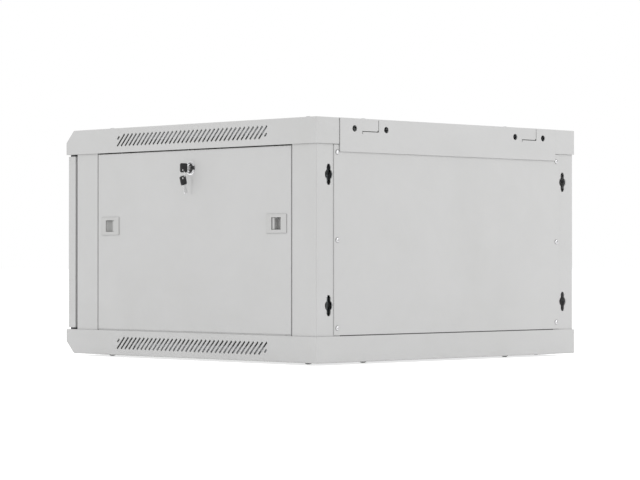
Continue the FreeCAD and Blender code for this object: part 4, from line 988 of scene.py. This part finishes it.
@dataclass
class KeySet:
    """The inserted key, the ring and the spare key. Lengths are in metres."""

    shop: Workshop
    edge: float = 0.6 * MM
    corner_r: float = 2.6 * MM
    hole_r: float = 2.0 * MM
    head_l: float = 14.4 * MM
    blade_half_w: float = 3.0 * MM
    blade_half_t: float = 0.9 * MM
    blade_root: float = 1.0 * MM
    blade_edge: float = 0.2 * MM
    ring_wire_w: float = 1.2 * MM
    lap_share: float = 0.47
    lap_turn: int = 330
    lap_steps: int = 44
    jog_steps: int = 6
    spare_lean: float = 15.0
    spare_top: float = 3.5 * MM
    spare_head: tuple[float, float, float] = (12.2 * MM, 2.2 * MM, 14.6 * MM)
    spare_blade_l: float = 13.5 * MM
    cut_pitch: float = 2.6 * MM
    cut_depths: tuple[float, ...] = (1.4 * MM, 0.8 * MM, 1.8 * MM, 1.1 * MM)

    def head(self, node: str, low: Vector, high: Vector, tilt: Matrix, hole: Vector) -> None:
        """Makes a moulded key head with rounded corners and a ring hole.

        Args:
            node: the CAD node that the head stands for.
            low: the head's low corner before it is tilted.
            high: its high corner.
            tilt: the transform of the tilt.
            hole: the middle of the ring hole before it is tilted.
        """
        mesh = block(low, high)
        corners = [edge for edge in mesh.edges if abs((edge.verts[0].co - edge.verts[1].co).y) > self.edge]
        round_edges(mesh, corners, self.corner_r, segments=6)
        rims = [edge for edge in mesh.edges if edge.calc_face_angle(0.0) > SHARP_ANGLE]
        round_edges(mesh, rims, self.edge, segments=3)
        bar = bmesh.new()
        bmesh.ops.create_cone(bar, cap_ends=True, segments=24, radius1=self.hole_r, radius2=self.hole_r,
                              depth=4 * self.hole_r)
        mesh = carved(mesh, [shifted(turned(bar, 90, "X"), hole)])
        self.shop.piece(f"{node}_head", moved(mesh, tilt), KEY_BLACK, [node])

    def inserted(self) -> None:
        """Makes the key that stands in the right side lock."""
        box = node_box("inserted_key")
        middle = node_box("side_lock_plug_right").centre
        low = Vector((box.high.x - self.head_l, box.low.y, box.low.z))
        hole = Vector(self.shop.joint("key_ring_swing")["pos_m"])
        self.head("inserted_key", low, box.high, Matrix.Identity(4), hole)
        blade = block((box.low.x, middle.y - self.blade_half_t, middle.z - self.blade_half_w),
                      (low.x + self.blade_root, middle.y + self.blade_half_t, middle.z + self.blade_half_w),
                      self.blade_edge)
        self.shop.piece("inserted_key_blade", blade, KEY_STEEL, rides_on="inserted_key")

    def ring(self) -> None:
        """Makes the split ring: two flat turns of wire with a short jog between them."""
        box = node_box("key_ring")
        thick = box.size.x / 2
        mesh = bmesh.new()
        bmesh.ops.create_circle(mesh, cap_ends=False, segments=12, radius=1.0)
        bmesh.ops.scale(mesh, vec=(self.ring_wire_w / 2, thick * self.lap_share, 1), verts=mesh.verts[:])
        shifted(turned(mesh, 90, "X"), (box.size.z / 2 - self.ring_wire_w / 2, 0, thick / 2))
        section = mesh.verts[:] + mesh.edges[:]
        lap, jog = (self.lap_turn, 0.0, self.lap_steps), (360 - self.lap_turn, thick, self.jog_steps)
        for turn, rise, steps in (lap, jog, lap):
            made = bmesh.ops.spin(mesh, geom=section, cent=(0, 0, 0), axis=(0, 0, 1),
                                  dvec=(0, 0, rise / steps), angle=math.radians(turn), steps=steps)
            section = made["geom_last"]
        start = Vector((box.low.x, box.centre.y, box.centre.z))
        mesh = moved(capped(mesh), Pose(start, X_AXIS, Z_AXIS).matrix)
        self.shop.piece("key_ring_piece", mesh, RING_STEEL, ["key_ring"])

    def spare(self) -> None:
        """Makes the spare key: its head and its cut blade, leaning towards the panel."""
        pivot = Vector(self.shop.joint("spare_key_swing")["pos_m"])
        lean = Matrix.Rotation(math.radians(self.spare_lean), 4, "Y")
        tilt = Matrix.Translation(pivot) @ lean @ Matrix.Translation(-pivot)
        wide, thick, tall = self.spare_head
        top = pivot.z + self.spare_top
        low = Vector((pivot.x - wide / 2, pivot.y - thick / 2, top - tall))
        high = Vector((pivot.x + wide / 2, pivot.y + thick / 2, top))
        self.head("spare_key", low, high, tilt, pivot)
        edge = pivot.x + self.blade_half_w
        blade = block((pivot.x - self.blade_half_w, pivot.y - self.blade_half_t, low.z - self.spare_blade_l),
                      (edge, pivot.y + self.blade_half_t, low.z + self.blade_root), self.blade_edge)
        cuts = []
        for index, deep in enumerate(self.cut_depths):
            half = deep / math.sqrt(2)
            notch = block((-half, -2 * OVERRUN, -half), (half, 2 * OVERRUN, half))
            place = Matrix.Translation((edge, pivot.y, low.z - self.cut_pitch * (index + 1)))
            cuts.append(moved(notch, place @ Matrix.Rotation(math.pi / 4, 4, "Y")))
        blade = moved(carved(blade, cuts), tilt)
        self.shop.piece("spare_key_blade", blade, KEY_STEEL, rides_on="spare_key")

    def build(self) -> None:
        """Makes all three."""
        self.inserted()
        self.ring()
        self.spare()


# ---- latches, door and hinges ----


@dataclass
class SlideLatches:
    """The four latches of the side panels, softened like mouldings."""

    shop: Workshop
    edge: float = 0.35 * MM

    def build(self) -> None:
        """Makes each housing and slider."""
        for side in Side:
            for end in End:
                for part in ("housing", "slider"):
                    self.shop.softened(f"latch_{part}_{end.label}_{side.label}", LATCH_PLASTIC, self.edge)


@dataclass
class GlazedDoor:
    """The door's pane, clips, hinge parts and the spring of the upper pin. Sizes are in metres."""

    shop: Workshop
    glass_edge: float = 0.8 * MM
    pressed_edge: float = 0.25 * MM
    bush_edge: float = 0.3 * MM
    turned_edge: float = 0.4 * MM
    spring_r: float = 4.2 * MM
    spring_wire_r: float = 0.45 * MM
    spring_turns: int = 9
    spring_steps: int = 18
    shelf_t: float = 1.2 * MM
    clip_bore_r: float = 2.8 * MM
    clip_r: float = 5.2 * MM
    clip_t: float = 0.9 * MM
    clip_gap: float = 0.1 * MM
    washer_r: float = 9.0 * MM
    washer_bore_r: float = 3.3 * MM
    washer_gap: float = 0.12 * MM
    collar_r: float = 5.2 * MM

    def washers(self) -> None:
        """Lays a nylon washer on the pin at each end of the door, in the gap to the cover."""
        door = node_box("door_frame")
        axis = Vector((node_box("bottom_hinge_pin").centre.x, node_box("top_hinge_pin").centre.y, 0.0))
        sills = (node_box("bottom_cover").high.z, node_box("top_cover").low.z)
        for name, low, high, bore, carrier in (
                ("hinge_washer_bottom", sills[0], door.low.z, self.collar_r, "bottom_hinge_pin"),
                ("hinge_washer_top", door.high.z, sills[1], self.washer_bore_r, "door_frame")):
            ring = flat_ring(bore, self.washer_r, low + self.washer_gap, high - self.washer_gap)
            self.shop.piece(name, shifted(ring, axis), NYLON, rides_on=carrier)

    def spring(self) -> None:
        """Winds the spring of the upper pin, from the bracket's shelf to a snap ring on the pin."""
        travel = self.shop.joint("sprung_hinge_pin_slide")["range_m"][1]
        bush = max(solid_boxes("hinge_bushes", self.shop.nodes), key=lambda one: one.low.z)
        axis = Vector((bush.centre.x, bush.centre.y, 0.0))
        shelf = node_box("hinge_pin_bracket").low.z + self.shelf_t
        clip_z = bush.low.z - self.clip_t - self.clip_gap
        ring = flat_ring(self.clip_bore_r, self.clip_r, clip_z, clip_z + self.clip_t)
        self.shop.piece("hinge_snap_ring", shifted(ring, axis), BRIGHT_STEEL, rides_on="top_hinge_pin")
        length = clip_z - shelf - 2 * self.spring_wire_r
        steps = self.spring_steps * self.spring_turns
        mesh = bmesh.new()
        bmesh.ops.create_circle(mesh, cap_ends=False, segments=8, radius=self.spring_wire_r)
        shifted(turned(mesh, 90, "X"), (self.spring_r, 0, shelf + self.spring_wire_r))
        bmesh.ops.spin(mesh, geom=mesh.verts[:] + mesh.edges[:], cent=(0, 0, 0), axis=(0, 0, 1),
                       dvec=(0, 0, length / steps), angle=2 * math.pi * self.spring_turns, steps=steps)
        mesh = shifted(capped(mesh), axis)
        coil = self.shop.piece("hinge_spring", mesh, BRIGHT_STEEL, rides_on="hinge_pin_bracket")
        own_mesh(coil)

    def build(self) -> None:
        """Softens the pane and the small parts, winds the spring and lays the washers."""
        for node, finish, edge in (("door_glass", TINTED_GLASS, self.glass_edge),
                                   ("glass_clips", BRIGHT_STEEL, self.pressed_edge),
                                   ("hinge_pin_bracket", BRIGHT_STEEL, self.pressed_edge),
                                   ("top_hinge_pin", BRIGHT_STEEL, self.turned_edge),
                                   ("bottom_hinge_pin", BRIGHT_STEEL, self.turned_edge),
                                   ("hinge_bushes", NYLON, self.bush_edge),
                                   ("door_lock_nut", BRIGHT_STEEL, self.turned_edge),
                                   ("side_lock_nuts", BRIGHT_STEEL, self.turned_edge)):
            self.shop.softened(node, finish, edge)
        self.spring()
        self.washers()


# ---- studio ----


@dataclass
class Studio:
    """Floor, world, lamps and camera, with lengths in metres, angles in degrees and the lens in mm."""

    floor_z: float
    floor_gap: float = 0.05 * MM
    floor_half: float = 30.0
    floor_grey: float = 0.81
    floor_glow: float = 0.75
    world_fill: float = 0.945
    camera_place: Vector = field(default_factory=lambda: Vector((2.84975, 2.62153, -0.20014)))
    camera_azimuth: float = 135.721
    camera_pitch: float = 0.469
    camera_reach: float = 200.0
    lens: float = 137.38
    lamp_aim: Vector = field(default_factory=lambda: Vector((0.0, -0.3, -0.17)))

    def seen_rays(self, tree: NodeTree) -> Node:
        """Tells what the camera sees, also in gloss and through glass, from what lights the object.

        Args:
            tree: the tree of the world or of a material.

        Returns:
            A node that gives one for what is seen and nought for light.
        """
        path = tree.add("LightPath")
        seen = tree.add("Math", (path, "Is Camera Ray"), (path, "Is Glossy Ray"), operation="MAXIMUM")
        return tree.add("Math", seen, (path, "Is Transmission Ray"), operation="MAXIMUM")

    def world(self) -> None:
        """Makes a pale world: white where it is seen, and softer as light."""
        world = bpy.data.worlds.new("pale_world")
        world.use_nodes = True
        bpy.context.scene.world = world
        tree = NodeTree(world.node_tree)
        strength = tree.add("MapRange", Value=self.seen_rays(tree), To_Min=self.world_fill, To_Max=1.0)
        shade = tree.add("Background", Color=(1, 1, 1, 1), Strength=strength)
        tree.add("OutputWorld", Surface=shade)

    def floor_paint(self) -> Material:
        """Mixes the floor's matt paint, which glows a little where it is seen.

        Returns:
            The material.
        """
        material = bpy.data.materials.new("pale_floor")
        material.use_nodes = True
        tree = NodeTree(material.node_tree)
        paint = tree.add("BsdfDiffuse", Color=(*[self.floor_grey] * 3, 1))
        share = tree.add("Math", self.seen_rays(tree), self.floor_glow, operation="MULTIPLY")
        glow = tree.add("Emission", Color=(1, 1, 1, 1), Strength=share)
        both = tree.add("AddShader", paint, glow)
        tree.add("OutputMaterial", Surface=both)
        return material

    def floor(self) -> None:
        """Lays a pale floor that keeps a soft shadow."""
        mesh = bmesh.new()
        bmesh.ops.create_grid(mesh, x_segments=1, y_segments=1, size=self.floor_half)
        data = bpy.data.meshes.new("floor")
        shifted(mesh, (0, 0, self.floor_z - self.floor_gap)).to_mesh(data)
        mesh.free()
        data.materials.append(self.floor_paint())
        floor = new_object("floor", data)
        floor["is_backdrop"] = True

    def lamps(self) -> None:
        """Hangs two square area lamps, each of a side and a power in watts, that look at the cabinet."""
        for name, place, side, power in (("side_lamp", (3.8, -1.2, 0.35), 0.5, 15.5),
                                         ("rear_lamp", (-2.4, 3.0, 0.7), 1.2, 27.0)):
            light = bpy.data.lights.new(name, "AREA")
            light.size, light.energy = side, power
            lamp = new_object(name, light)
            lamp.location = place
            lamp.rotation_euler = (self.lamp_aim - lamp.location).to_track_quat("-Z", "Y").to_euler()

    def camera(self) -> None:
        """Sets up the camera."""
        data = bpy.data.cameras.new("camera")
        data.lens = self.lens
        data.sensor_width = 36.0
        data.clip_end = self.camera_reach
        camera = new_object("camera", data)
        camera.location = self.camera_place
        camera.rotation_euler = (math.radians(90 + self.camera_pitch), 0.0, math.radians(self.camera_azimuth))
        bpy.context.scene.camera = camera

    def build(self) -> None:
        """Sets up everything round the cabinet."""
        self.world()
        self.floor()
        self.lamps()
        self.camera()
        bpy.context.scene.view_settings.view_transform = "Standard"


# ---- everything ----


def main() -> None:
    """Builds every class in order."""
    logging.basicConfig(level=logging.INFO, format="%(name)s: %(message)s")
    for leftover in list(bpy.data.objects):
        bpy.data.objects.remove(leftover)
    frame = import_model()
    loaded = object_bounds()
    shop = Workshop(frame["nodes"], frame["record"])
    SheetMetal(shop).build()
    Fasteners(shop).build()
    CamLock(shop, "door_lock", "", -Y_AXIS, -Z_AXIS).build()
    for side in Side:
        CamLock(shop, "side_lock", f"_{side.label}", X_AXIS * side.value, Z_AXIS).build()
    KeySet(shop).build()
    SlideLatches(shop).build()
    GlazedDoor(shop).build()
    Studio(floor_z=loaded[0][2]).build()
    LOG.info("%d pieces made", len(shop.made))


if __name__ == "__main__":
    main()
